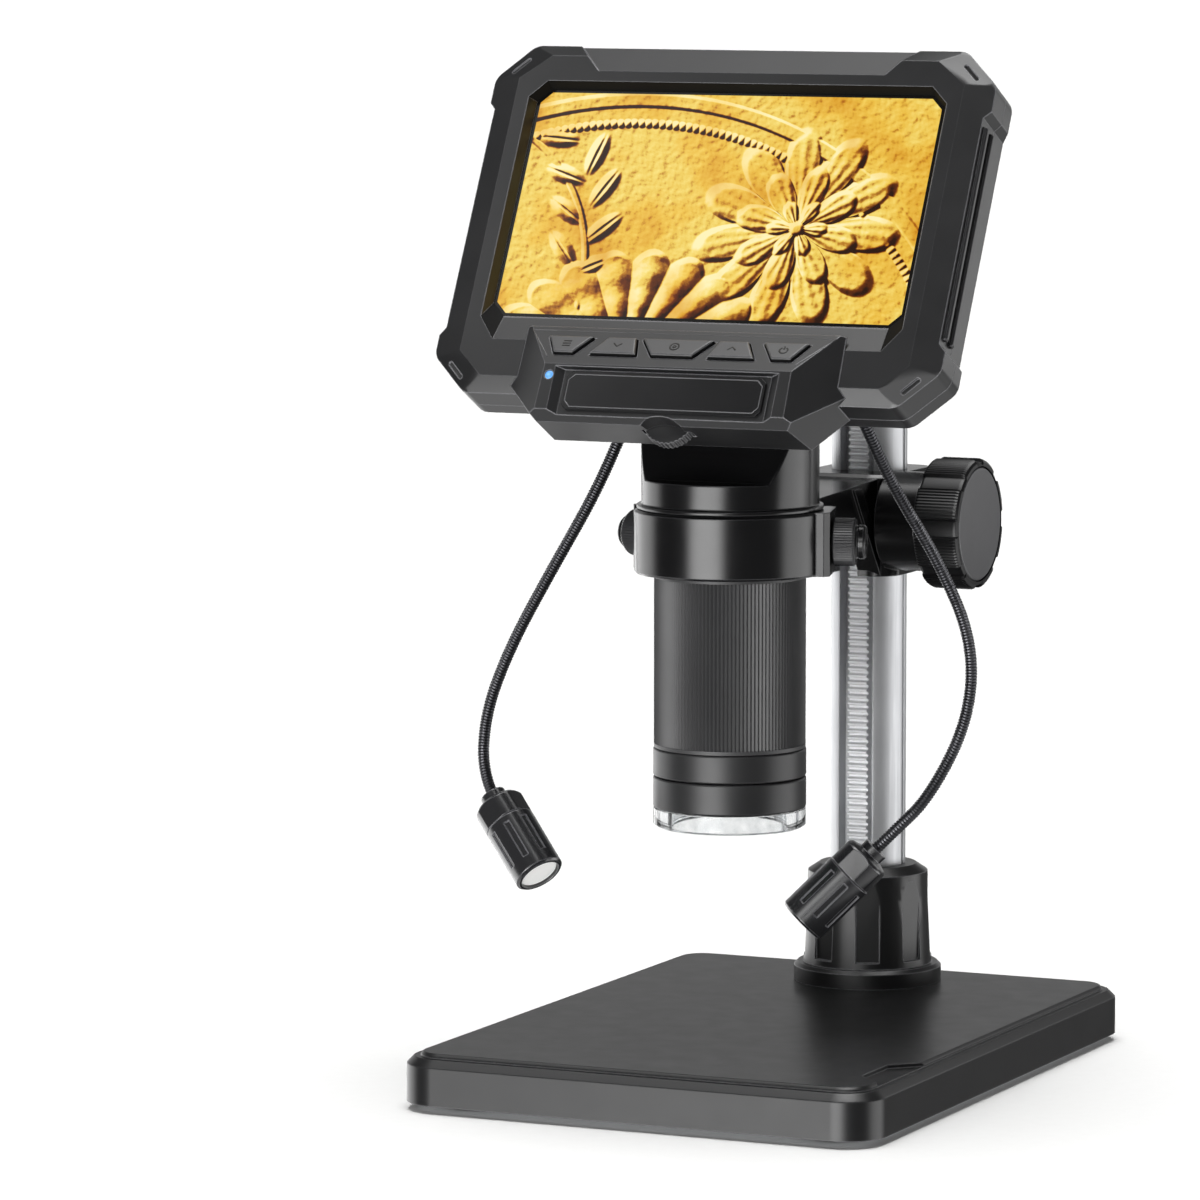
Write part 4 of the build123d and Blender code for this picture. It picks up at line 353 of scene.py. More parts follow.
def lit_picture(tree, place):
    """Laminated display: a bright embossed gold picture behind a black-edged glossy glass."""
    flat = add(tree, "Mapping", {
        "Vector": place, "Location": SCREEN_CENTRE, "Rotation": SCREEN_TURN.to_euler(),
        "Scale": (MM, MM, MM),
    }, vector_type="TEXTURE")
    # The picture's light comes from its upper left: its height there, taken off its height here
    group = relief_group()
    here = add(tree, "Group", {"Place": flat}, node_tree=group)
    lit_side = add(tree, "VectorMath ADD", [flat, (-0.55, 0.5, 0.0)])
    there = add(tree, "Group", {"Place": lit_side}, node_tree=group)
    slope = add(tree, "Math SUBTRACT", [here, there])
    shade = add(tree, "MapRange", [slope, -0.48, 0.48])
    gold = add(tree, "ValToRGB", [shade], [
        (0.0, "#2A1002"), (0.24, "#6D3206"), (0.38, "#C08226"), (0.47, "#EECB58"),
        (0.60, "#F9E07A"), (0.82, "#FFF2B8"),
    ])
    cloud = add(tree, "TexNoise", {"Vector": flat, "Scale": 0.05, "Detail": 6.0})
    warm = add(tree, "ValToRGB", [cloud], [
        (0.34, "#E8BE6A"), (0.46, "#FBEBBE"), (0.56, "#FFFFFF")])
    tinted = add(tree, "Mix", {0: 1.0, 6: gold, 7: warm}, data_type="RGBA",
                 blend_type="MULTIPLY").outputs[2]
    # Black mask past the lit area's half width and height, and past their sum at its cut corners
    away = add(tree, "VectorMath ABSOLUTE", [flat])
    reach = add(tree, "SeparateXYZ", [away]).outputs
    slant = add(tree, "Math ADD", [reach["X"], reach["Y"]])
    mask = 0.0
    for distance, limit in ((reach["X"], 46.9), (reach["Y"], 26.2), (slant, 70.6)):
        past = add(tree, "Math GREATER_THAN", [distance, limit])
        mask = add(tree, "Math MAXIMUM", [mask, past])
    edged = add(tree, "Mix", {0: mask, 6: tinted, 7: "#050505"}, data_type="RGBA").outputs[2]
    return add(tree, "BsdfPrincipled", {
        "Base Color": "#0B0A08", "Roughness": 0.16, "Specular IOR Level": 0.25,
        "Emission Color": edged, "Emission Strength": 1.0,
    })


def floor_paper(tree, place, colour, fibre_colour):
    """Matt paper sweep, its fibres drawn coarser than they are."""
    fibre = add(tree, "TexNoise", {"Vector": place, "Scale": 1 / (3 * MM), "Detail": 3.0})
    tone = add(tree, "ValToRGB", [fibre], [(0.2, colour), (0.8, fibre_colour)])
    return add(tree, "BsdfPrincipled", {
        "Base Color": tone, "Roughness": 0.9, "Specular IOR Level": 0.1,
    })


# Moulded finishes: name, colour, cloud colour, roughness, grit spacing and depth in mm, specular
# level and, where it has one, the paler colour of its edges, which is a painted highlight
MOULDED = {
    # Spark-eroded mould: wide calm faces with a soft sheen
    "base": ("satin black ABS base", "#121213", "#171718", 0.34, 0.5, 0.004, 0.45, "#5C5C5E"),
    # Smooth mould: deep black with long clear highlights
    "black": ("semi-gloss black ABS", "#09090A", "#0E0E0F", 0.22, 0.6, 0.002, 0.5, "#39393B"),
    # Ribbed mould: its ribs scatter the light to an even dark grey
    "grip": ("ribbed black ABS grip", "#333334", "#3A3A3B", 0.46, 0.6, 0.002, 0.5),
    # Satin mould: upright bands of light with soft sides
    "ring": ("satin black ABS rings", "#1B1B1C", "#202021", 0.40, 0.6, 0.002, 0.5, "#4C4C4E"),
    # Polished mould: bright stripes down the flutes, and a painted highlight on its edges
    "collar": ("glossy black ABS collar", "#111112", "#161617", 0.31, 0.6, 0.002, 0.5, "#77777A"),
    # Satin mould: dark lobes with one soft streak each
    "knob": ("satin black ABS knob", "#0C0C0D", "#101011", 0.3, 0.4, 0.004, 0.3),
    # Brushed after moulding; its grey, much paler than the knob, is a painted sheen for the light
    # its face would reflect, and its rim carries a painted highlight
    "cap": ("brushed black knob cap", "#4A4A4C", "#525254", 0.34, 0.4, 0.004, 0.5, "#77777A"),
    # Finely etched mould: each facet takes one even grey between edges with a painted highlight
    "monitor": ("fine-textured black ABS", "#19191A", "#1F1F20", 0.3, 0.35, 0.004, 0.5, "#77777A"),
    # Etched, of a paler ABS: the keys stand out from the deck
    "button": ("satin grey ABS keys", "#3C3C3D", "#434344", 0.32, 0.35, 0.004, 0.5, "#838386"),
    # Polished mould: darker and smoother than the deck round it
    "panel": ("smooth black ABS panel", "#121213", "#171718", 0.2, 0.6, 0.002, 0.4),
    # Polished by the mould and painted paler than the case: a thin line of painted highlight
    "ridge": ("polished raised line", "#4C4C4E", "#565658", 0.22, 0.3, 0.002, 0.6),
    # Ridged mould: tips with a painted highlight over dark gaps
    "wheel": ("ridged black ABS wheel", "#1E1E1F", "#242425", 0.4, 0.3, 0.002, 0.5, "#6E6E70"),
    # Matt, and painted near black: painted shade on the reveal, which keeps it dark beside the lit
    # screen
    "reveal": ("matt black screen reveal", "#0A0A0A", "#0E0E0E", 0.7, 0.3, 0.004, 0.12),
    # Painted shade: the keys' sides, in the narrow gap round each key, are painted almost black
    "key_side": ("black key skirt", "#0A0A0B", "#0F0F10", 0.5, 0.3, 0.004, 0.2),
    # Pad-printed: flat, and darker than the key below it
    "mark": ("black key printing ink", "#060606", "#0B0B0B", 0.5, 0.3, 0.002, 0.3),
    # Machined: a waxy off-white
    "bush": ("white acetal", "#D8D5CA", "#E2E0D8", 0.4, 0.5, 0.01, 0.4),
    # Anodised: its black oxide skin has the small sharp highlights of lacquer, not of metal, and
    # its edges a painted highlight
    "lamp": ("black anodised aluminium", "#1C1C1E", "#222224", 0.22, 0.5, 0.002, 1.0, "#707074"),
    # Laminated film on glass: smooth and near black
    "panel_glass": ("dark display backing", "#0A0A0B", "#101011", 0.3, 0.8, 0.005, 0.3),
}
# Metals with fine lines: name, colour, cloud colour, roughness, line spacing and depth in mm
METALS = {
    # Drawn through a die: pale, with long upright streaks
    "column": ("drawn aluminium", "#C2C3C5", "#CDCED0", 0.52, 0.35, 0.0012),
    # Milled: near-white teeth that scatter the light
    "rack": ("milled aluminium rack", "#ECEDEE", "#F2F2F3", 0.75, 0.35, 0.0012),
    # Blackened spring wire: dark grey turns with a bright line down the arm
    "gooseneck": ("black oxide steel coil", "#4A4A4D", "#58585B", 0.36, 0.4, 0.001),
}
# Clear finishes: name, tint, roughness, index of refraction and scuff spacing in mm
CLEAR = {
    # Moulded acrylic: bright rims. Its index is under acrylic's 1.49, so that the ring stays pale
    "clear": ("clear acrylic cap", "#C4C8CA", 0.03, 1.3, 2.0),
    # Polished and coated: dark, with a faint blue cast
    "lens": ("coated lens glass", "#C9D6E4", 0.02, 1.6, 4.0),
}
# Inner and under parts: name, colour, mottle colour, roughness, metallic and mottle size in mm
FITTINGS = {
    # Moulded: dull, with a dusty bloom
    "rubber": ("moulded black rubber", "#0E0E0E", "#191919", 0.75, 0.0, 0.6),
    # Plated: bright, with a fine spangle
    "steel": ("zinc-plated steel", "#9FA3A8", "#C2C6CA", 0.32, 1.0, 2.0),
    # Dipped: a flat grey crystal coat, so it isn't metallic
    "plate": ("grey phosphated steel", "#626365", "#6C6D6F", 0.6, 0.0, 2.0),
    # Lacquered over its tracks: an uneven glossy green
    "board": ("green solder mask", "#0B3D1E", "#12512B", 0.4, 0.0, 1.5),
    # Wrapped foil: crinkled silver grey
    "battery": ("battery foil", "#5D6470", "#747B88", 0.35, 0.6, 2.5),
}
# The finish of each material slot, and of the nodes with one of their own
BY_SLOT = {
    "base_abs": "base", "steel": "steel", "rubber": "rubber", "column_metal": "column",
    "black_abs": "black", "knob_abs": "knob", "monitor_abs": "monitor", "button_abs": "button",
    "panel_abs": "panel", "clear_plastic": "clear", "bush_plastic": "bush",
    "circuit_board": "board", "battery_wrap": "battery", "glass": "lens", "screen": "panel_glass",
    "led_blue": "led", "gooseneck_steel": "gooseneck", "lamp_metal": "lamp",
}
OWN_FINISH = {
    "base_weight": "plate", "column_collar": "collar", "gear_rack": "rack", "knob_caps": "cap",
    "focus_grip": "grip", "light_ring_upper": "ring", "light_ring_lower": "ring",
    "cover_glass": "screen", "dimmer_wheel": "wheel", "lamp_lens_left": "frost",
    "lamp_lens_right": "frost",
}
SLOTS = {row["node"]: row["material_slot"] for row in frame["record"]["subparts"]}
FINISH = {}


def finish_of(node):
    return FINISH[OWN_FINISH.get(node, BY_SLOT[SLOTS[node]])]


# ---- mesh tools
def activate(obj):
    bpy.ops.object.select_all(action="DESELECT")
    obj.select_set(True)
    bpy.context.view_layer.objects.active = obj


def pick(obj, kind, test):
    """Selects in edit mode the vertices, edges or faces that pass a test."""
    bpy.ops.mesh.select_mode(type=kind)
    bpy.ops.mesh.select_all(action="DESELECT")
    mesh = bmesh.from_edit_mesh(obj.data)
    items = {"VERT": mesh.verts, "EDGE": mesh.edges, "FACE": mesh.faces}[kind]
    found = [item for item in items if test(item)]
    if not found:
        raise RuntimeError(f"nothing to select on {obj.name}")
    for item in found:
        item.select_set(True)
    mesh.select_flush_mode()
    bmesh.update_edit_mesh(obj.data)


def edge_middle(edge):
    return (edge.verts[0].co + edge.verts[1].co) / 2


def round_edges(obj, width, angle, wanted=None, steps=2):
    """Rounds the wanted edges that turn by more than an angle in degrees; width is in mm."""
    def sharp(edge):
        turns = edge.is_manifold and edge.calc_face_angle(0.0) > radians(angle)
        return turns and (wanted is None or wanted(edge))

    pick(obj, "EDGE", sharp)
    bpy.ops.mesh.bevel(offset=width * MM, segments=steps, affect="EDGES", profile=0.5,
                       clamp_overlap=True, loop_slide=False)


# On the case only faces within so many degrees blend, so that its wide facets stay crisp
CRISP = 16.0


def smooth_by_area(piece, angle):
    """Smooth shading in which each wide face stays flat and the narrow rounding takes the turn."""
    bpy.ops.object.shade_smooth_by_angle(angle=radians(angle))
    weighted = piece.modifiers.new("flat faces", "WEIGHTED_NORMAL")
    weighted.mode = "FACE_AREA"
    weighted.weight = 100
    weighted.keep_sharp = True
    bpy.ops.object.modifier_apply(modifier=weighted.name)


def copied(node, rounds=(), smooth=32.0, patches=()):
    """A finished piece in a node's own shape, with its edges rounded.
    rounds holds what round_edges takes for each pass, patches (finish, wanted) for each group of
    faces with a finish of their own; edges that turn by more than smooth degrees stay sharp."""
    source = frame["nodes"][node]
    mesh = source.data.copy()
    piece = bpy.data.objects.new(node + "_finished", mesh)
    bpy.context.scene.collection.objects.link(piece)
    activate(piece)
    mesh.materials.clear()
    mesh.materials.append(finish_of(node))
    if mesh.has_custom_normals:
        bpy.ops.mesh.customdata_custom_splitnormals_clear()
    bpy.ops.object.mode_set(mode="EDIT")
    bpy.ops.mesh.select_all(action="SELECT")
    bpy.ops.mesh.remove_doubles(threshold=0.002 * MM)
    bpy.ops.mesh.dissolve_limited(angle_limit=radians(0.6))
    for row in rounds:
        round_edges(piece, *row)
    for patch, wanted in patches:
        mesh.materials.append(FINISH[patch])
        piece.active_material_index = len(mesh.materials) - 1
        pick(piece, "FACE", wanted)
        bpy.ops.object.material_slot_assign()
    bpy.ops.mesh.select_all(action="SELECT")
    bpy.ops.object.mode_set(mode="OBJECT")
    smooth_by_area(piece, smooth)
    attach(piece, source["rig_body"])
    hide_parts(node)


def place_on(piece, node, finish):
    """Gives a new piece the body of a node, and a finish."""
    piece.data.materials.clear()
    piece.data.materials.append(finish)
    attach(piece, frame["nodes"][node]["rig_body"])


def turned(name, stations, segments):
    """A solid of revolution up the Z axis, extruded ring by ring through (radius, height) in mm."""
    radius, height = stations[0]
    bpy.ops.object.select_all(action="DESELECT")
    bpy.ops.mesh.primitive_circle_add(
        vertices=segments, radius=radius * MM, fill_type="NOTHING", location=(0, 0, 0))
    piece = bpy.context.object
    piece.name = name
    bpy.ops.object.mode_set(mode="EDIT")
    bpy.ops.mesh.select_all(action="SELECT")
    bpy.ops.transform.translate(value=(0, 0, height * MM))
    for next_radius, next_height in stations[1:]:
        step = (0, 0, (next_height - height) * MM)
        bpy.ops.mesh.extrude_region_move(TRANSFORM_OT_translate={"value": step})
        grow = next_radius / radius
        bpy.ops.transform.resize(value=(grow, grow, 1.0), center_override=(0, 0, next_height * MM))
        radius, height = next_radius, next_height
    bpy.ops.mesh.select_all(action="SELECT")
    bpy.ops.mesh.fill_holes(sides=segments)
    bpy.ops.mesh.normals_make_consistent(inside=False)
    bpy.ops.object.mode_set(mode="OBJECT")
    return piece


def pull_in(piece, test, depth, radius):
    """Moves the picked vertices of a turned piece towards its axis."""
    activate(piece)
    bpy.ops.object.mode_set(mode="EDIT")
    pick(piece, "VERT", test)
    keep = (radius - depth) / radius
    bpy.ops.transform.resize(value=(keep, keep, 1.0), center_override=(0, 0, 0))
    bpy.ops.object.mode_set(mode="OBJECT")


def step_round(vertex, segments):
    """Number of a turned piece's vertex round the axis."""
    angle = Vector((vertex.co.x, vertex.co.y)).angle_signed(Vector((1, 0)), 0.0)
    return round(angle / (2 * pi) * segments) % segments


def settle(piece, smooth=32.0):
    """Applies a piece's place to its mesh and smooths it."""
    activate(piece)
    bpy.ops.object.transform_apply(location=True, rotation=True, scale=True)
    smooth_by_area(piece, smooth)


def stand_along(piece, place, direction):
    """Turns a piece built up the Z axis along a direction and settles it at a place."""
    turn = direction.to_track_quat("Z", "Y").to_matrix().to_4x4()
    piece.matrix_world = Matrix.Translation(place) @ turn
    settle(piece, smooth=25.0)


# ---- knobs, screws and arms
# Radius and height of each ring, in mm; KNOB_START is where the knob's heights start
KNOB_RINGS = ((13.6, 0.0), (14.35, 0.3), (14.65, 0.9), (14.65, 9.4), (14.35, 10.15), (13.7, 10.5),
              (12.9, 10.5), (12.8, 9.6))
KNOB_FACES, KNOB_LOBES, KNOB_RADIUS, KNOB_START = 256, 8, 14.65, 20.5
# The knob's wall and ribs lie outside these radii; a recess is so many faces wide each way
KNOB_WALL, KNOB_RIBS, RECESS_STEPS = 13.5, 14.2, 5
RIB_DEPTH, RECESS_DEPTH = 0.15, 0.75
SCREW_RINGS = ((2.0, 19.3), (2.0, 22.4), (4.85, 22.4), (5.2, 22.75), (5.2, 26.9), (4.85, 27.3),
               (3.7, 27.3), (3.5, 27.7), (3.7, 28.0), (3.7, 29.0), (3.3, 29.5), (1.7, 29.5),
               (1.6, 28.4))
SCREW_FACES, SCREW_RADIUS, SCREW_KNURL, KNURL_DEPTH = 108, 5.2, 4.7, 0.22
# The coil's radius, and the parts of a turn between which it stands at it
COIL_RADIUS, CREST_START, CREST_END = 1.3, 0.25, 0.7
# Points along each arm from its root to its lamp, in mm
ARM_ROUTES = {
    "left": ((-20.8, -13.8, 157.6), (-28.2, -13.0, 145.6), (-36.2, -13.0, 128.2),
             (-47.3, -13.1, 110.0), (-57.4, -13.0, 92.6), (-63.5, -13.0, 77.4),
             (-64.35, -12.53, 63.23), (-59.6, -14.7, 58.1)),
    "right": ((20.8, -13.8, 157.6), (26.4, -12.6, 146.4), (30.2, -4.6, 131.2), (37.6, 4.0, 114.4),
              (43.9, 8.6, 96.6), (43.0, 8.6, 79.4), (35.6, 4.4, 62.6),
              (29.84, -2.51, 55.41), (25.1, -4.7, 50.3)),
}


def focus_knob(name, side):
    """Knob with eight ribbed lobes, flat recesses between them and a seat for its cap."""
    knob = turned("focus_knob_finished_" + name, KNOB_RINGS, KNOB_FACES)
    per_lobe = KNOB_FACES // KNOB_LOBES

    def in_recess(vertex):
        step = (step_round(vertex, KNOB_FACES) + per_lobe // 2) % per_lobe - per_lobe // 2
        return vertex.co.xy.length > KNOB_WALL * MM and abs(step) <= RECESS_STEPS

    def on_rib_gap(vertex):
        outer = vertex.co.xy.length > KNOB_RIBS * MM
        return outer and not in_recess(vertex) and step_round(vertex, KNOB_FACES) % 2 == 1

    pull_in(knob, on_rib_gap, RIB_DEPTH, KNOB_RADIUS)
    pull_in(knob, in_recess, RECESS_DEPTH, KNOB_RADIUS)
    stand_along(knob, Vector((side * KNOB_START * MM, SHAFT.y, SHAFT.z)), side * ACROSS)
    return knob


def clamp_screw(name):
    """Thumb screw with a finely knurled head and a bored nub."""
    turn = joint("clamp_screw_" + name + "_turn")
    screw = turned("thumb_screw_finished_" + name, SCREW_RINGS, SCREW_FACES)

    def on_knurl_gap(vertex):
        outer = vertex.co.xy.length > SCREW_KNURL * MM
        return outer and step_round(vertex, SCREW_FACES) % 2 == 1

    pull_in(screw, on_knurl_gap, KNURL_DEPTH, SCREW_RADIUS)
    stand_along(screw, Vector(turn["pos_m"]), Vector(turn["axis"]))
    return screw


def coiled_arm(side, size):
    """Gooseneck: one turn of the coil, repeated along the arm's smooth line."""
    pitch = size.coil_pitch / MM
    inner = COIL_RADIUS - size.coil_depth / MM
    arm = turned("gooseneck_coil_" + side, [
        (inner, 0.0), (COIL_RADIUS, CREST_START * pitch), (COIL_RADIUS, CREST_END * pitch),
        (inner, pitch),
    ], size.coil_sides)
    activate(arm)
    bpy.ops.object.mode_set(mode="EDIT")
    pick(arm, "FACE", lambda face: abs(face.normal.z) > 0.99)
    bpy.ops.mesh.delete(type="FACE")
    bpy.ops.object.mode_set(mode="OBJECT")
    line = bpy.data.curves.new("arm_line_" + side, "CURVE")
    line.dimensions = "3D"
    spline = line.splines.new("NURBS")
    route = ARM_ROUTES[side]
    spline.points.add(len(route) - 1)
    for point, place in zip(spline.points, route):
        point.co = (*(Vector(place) * MM), 1.0)
    spline.order_u = 3
    spline.use_endpoint_u = True
    line.resolution_u = 24
    line.use_stretch = True
    line.use_deform_bounds = True
    guide = bpy.data.objects.new("arm_line_" + side, line)
    bpy.context.scene.collection.objects.link(guide)
    activate(arm)
    row = arm.modifiers.new("turns", "ARRAY")
    row.fit_type = "FIT_CURVE"
    row.curve = guide
    row.use_relative_offset = False
    row.use_constant_offset = True
    row.constant_offset_displace = (0, 0, pitch * MM)
    row.use_merge_vertices = True
    row.merge_threshold = 0.01 * MM
    bend = arm.modifiers.new("bend", "CURVE")
    bend.object = guide
    bend.deform_axis = "POS_Z"
    bpy.ops.object.modifier_apply(modifier="turns")
    bpy.ops.object.modifier_apply(modifier="bend")
    bpy.data.objects.remove(guide)
    bpy.ops.object.mode_set(mode="EDIT")
    bpy.ops.mesh.select_all(action="SELECT")
    bpy.ops.mesh.fill_holes(sides=size.coil_sides)
    bpy.ops.mesh.normals_make_consistent(inside=False)
    bpy.ops.object.mode_set(mode="OBJECT")
    bpy.ops.object.shade_smooth_by_angle(angle=radians(40.0))
    arm.data.materials.append(FINISH["gooseneck"])
    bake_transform(arm)
    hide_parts("gooseneck_" + side)
    return arm


# ---- signs and lines on the deck
def raised_lines(name, strokes, radius, closed=False):
    """Low ridges through points in mm, half sunk in the plane that they are drawn on."""
    lines = bpy.data.curves.new(name, "CURVE")
    lines.dimensions = "3D"
    lines.bevel_depth = radius * MM
    lines.bevel_resolution = 2
    lines.use_fill_caps = True
    for points in strokes:
        spline = lines.splines.new("POLY")
        spline.points.add(len(points) - 1)
        for point, (x, y) in zip(spline.points, points):
            point.co = (x * MM, y * MM, 0.0, 1.0)
        spline.use_cyclic_u = closed
    piece = bpy.data.objects.new(name, lines)
    bpy.context.scene.collection.objects.link(piece)
    activate(piece)
    bpy.ops.object.convert(target="MESH")
    return bpy.context.object


def arc(radius, start, end, steps=16):
    """Points round a centre, angles in degrees from the right."""
    angles = [radians(start + (end - start) * i / steps) for i in range(steps + 1)]
    return [(radius * cos(a), radius * sin(a)) for a in angles]


# Line drawings on the five keys, in mm from the key's middle
KEY_SIGNS = {
    "menu": [[(-0.9, 0.75), (0.9, 0.75)], [(-0.9, 0.0), (0.9, 0.0)], [(-0.9, -0.75), (0.9, -0.75)]],
    "down": [[(-0.95, 0.45), (0.0, -0.5), (0.95, 0.45)]],
    "select": [arc(1.0, 0, 360, 24), arc(0.3, 0, 360, 12)],
    "up": [[(-0.95, -0.45), (0.0, 0.5), (0.95, -0.45)]],
    "power": [arc(0.9, 125, 415), [(0.0, 0.25), (0.0, 1.2)]],
}
KEY_MIDDLES = {"menu": -25.0, "down": -13.2, "select": 0.0, "up": 13.2, "power": 25.0}
# The slope that the keys stand on, the row of their middles down it and how far they stand out
SLOPE_TOP, SLOPE_FOOT = Vector((0.0, -30.4, 3.3)), Vector((0.0, -41.0, 8.3))
KEY_ROW, KEY_PROUD = 6.2, 0.9
KEY_FIELD = [(-28.6, -9.6), (-35.0, -1.2), (35.0, -1.2), (28.6, -9.6)]
# The deck panel's border and its height above the glass
BORDER = [(-22.3, -49.2), (-22.3, -44.4), (-21.0, -43.1), (21.0, -43.1), (22.3, -44.4),
          (22.3, -49.2), (21.0, -50.5), (-21.0, -50.5)]
BORDER_PROUD = 7.7
# Thickness of each line, as a radius in mm, and how far each kind is flattened
SIGN_RADIUS, BORDER_RADIUS, FIELD_RADIUS = 0.19, 0.13, 0.16
SIGN_FLAT, LINE_FLAT = 0.35, 0.5


def on_slope(x, down, proud):
    """A matrix on the deck's key slope: across, down the slope and out from it, in mm."""
    along = (SLOPE_TOP - SLOPE_FOOT).normalized()
    out = ACROSS.cross(along)
    place = (SLOPE_TOP - along * down + out * proud + ACROSS * x) * MM
    turn = SCREEN_TURN @ Matrix((ACROSS, along, out)).transposed()
    return Matrix.Translation(on_screen(*place)) @ turn.to_4x4()


def on_face(x, y, z):
    """A matrix on the monitor, in mm."""
    return Matrix.Translation(on_screen(x * MM, y * MM, z * MM)) @ SCREEN_TURN.to_4x4()


def laid(piece, matrix, flatten):
    """Lays a drawn piece on its plane, flattened."""
    piece.matrix_world = matrix @ Matrix.Diagonal((1.0, 1.0, flatten, 1.0))
    settle(piece, smooth=50.0)


# ---- settings
# What all lengths and all colours share
LENGTH = {"unit": "LENGTH", "precision": 5}
COLOUR = {"subtype": "COLOR", "size": 4, "min": 0.0, "max": 1.0}


class MicroscopeSizes(bpy.types.PropertyGroup):
    edge_round: FloatProperty(
        name="Edge rounding", description="Rounding of the moulded edges",
        default=0.35 * MM, min=0.05 * MM, max=1.0 * MM, **LENGTH)
    case_corner: FloatProperty(
        name="Case corner", description="Rounding of the monitor's corners",
        default=1.4 * MM, min=0.2 * MM, max=4.0 * MM, **LENGTH)
    coil_pitch: FloatProperty(
        name="Coil pitch", description="Spacing of the gooseneck's turns",
        default=0.66 * MM, min=0.4 * MM, max=2.0 * MM, **LENGTH)
    coil_depth: FloatProperty(
        name="Coil depth", description="Depth between two turns of the gooseneck",
        default=0.17 * MM, min=0.02 * MM, max=0.5 * MM, **LENGTH)
    coil_sides: IntProperty(
        name="Coil sides", description="Faces round the gooseneck", default=14, min=8, max=32)


class MicroscopeColours(bpy.types.PropertyGroup):
    """Colours that replace the first one of the finish of the same name"""
    base: FloatVectorProperty(
        name="Base", description="Colour of the base plate",
        default=srgb(MOULDED["base"][1]), **COLOUR)
    monitor: FloatVectorProperty(
        name="Case", description="Colour of the monitor's case and button deck",
        default=srgb(MOULDED["monitor"][1]), **COLOUR)
    button: FloatVectorProperty(
        name="Keys", description="Colour of the five keys",
        default=srgb(MOULDED["button"][1]), **COLOUR)
    grip: FloatVectorProperty(
        name="Focus grip", description="Colour of the ribbed focus grip",
        default=srgb(MOULDED["grip"][1]), **COLOUR)
    column: FloatVectorProperty(
        name="Column", description="Colour of the column's metal",
        default=srgb(METALS["column"][1]), **COLOUR)


class MicroscopeStage(bpy.types.PropertyGroup):
    key_power: FloatProperty(
        name="Left softbox", description="Power of the near softbox at the left", default=0.3,
        unit="POWER")
    rim_power: FloatProperty(
        name="Right panel", description="Power of the small light panel at the back right",
        default=0.055, unit="POWER")


# ---- studio
# In metres
FLOOR_SIZE, FLOOR_DROP = 60.0, 0.0002
CAMERA_PLACE = (0.5831, -1.3555, 0.2694)
# How far the camera looks down and to the left in degrees, its lens and sensor in mm
CAMERA_DOWN, CAMERA_LEFT, CAMERA_LENS, CAMERA_SENSOR = 6.375, 24.737, 203.6, 36.0
# Soft lights: name, place on the monitor that it shines at, where it stands from there, width and
# the setting with its power
LIGHTS = (
    ("left_softbox", (0.0, 0.0), (-0.37, -0.30, 0.40), 0.25, "key_power"),
    ("right_panel", (0.0586, 0.0), (0.146, 0.316, -0.04), 0.12, "rim_power"),
)
# Glow overhead and from below: the sines of elevation that it fades between and its brightness
GLOWS = ((0.88, 1.0, 0.10, 8.2), (-0.8, -0.3, 0.8, 0.0))
# Soft windows: azimuth from the front, half width and soft edge in degrees, lowest and highest
# sine of elevation, and brightness
WINDOWS = (
    (-6.0, 9.0, 17.0, -0.42, -0.04, 8.6),
    (-112.0, 22.0, 16.0, -0.40, -0.04, 2.4),
    (114.0, 15.0, 15.0, -0.42, -0.04, 2.8),
    (-155.0, 34.0, 24.0, 0.02, 0.20, 0.55),
    (-104.0, 22.0, 14.0, 0.22, 0.36, 0.5),
    (6.0, 12.0, 12.0, 0.30, 0.40, 3.0),
)
# How far a window fades out below and above, as a sine of elevation
FADE_BELOW, FADE_ABOVE = 0.15, 0.13


def light_world():
    """Soft studio all round: bright overhead, dim at eye level, pale from below, with tall soft
    windows that give the upright cylinders their long highlights."""
    world = bpy.data.worlds.new("studio")
    world.use_nodes = True
    tree = world.node_tree
    tree.nodes.clear()
    way = add(tree, "TexCoord").outputs["Generated"]
    height = add(tree, "SeparateXYZ", [way]).outputs["Z"]
    flat = add(tree, "VectorMath MULTIPLY", [way, (1.0, 1.0, 0.0)])
    level_way = add(tree, "VectorMath NORMALIZE", [flat])
    # The fades that are multiplied in each light, as a Map Range node takes them
    lights = [[(height, *glow)] for glow in GLOWS]
    for azimuth, half, soft, low, high, strength in WINDOWS:
        turn = radians(azimuth)
        towards = (sin(turn), -cos(turn), 0.0)
        side = add(tree, "VectorMath DOT_PRODUCT", [level_way, towards]).outputs["Value"]
        lights.append([
            (side, cos(radians(half + soft)), cos(radians(half)), 0.0, strength),
            (height, low - FADE_BELOW, low, 0.0, 1.0),
            (height, high, high + FADE_ABOVE, 1.0, 0.0),
        ])
    total = 0.0
    for fades in lights:
        light = 1.0
        for row in fades:
            fade = add(tree, "MapRange", row, interpolation_type="SMOOTHSTEP")
            light = add(tree, "Math MULTIPLY", [light, fade])
        total = add(tree, "Math ADD", [total, light])
    sky = add(tree, "Background", {"Color": (1.0, 1.0, 1.0, 1.0), "Strength": total})
    add(tree, "OutputWorld", {"Surface": sky})
    return world


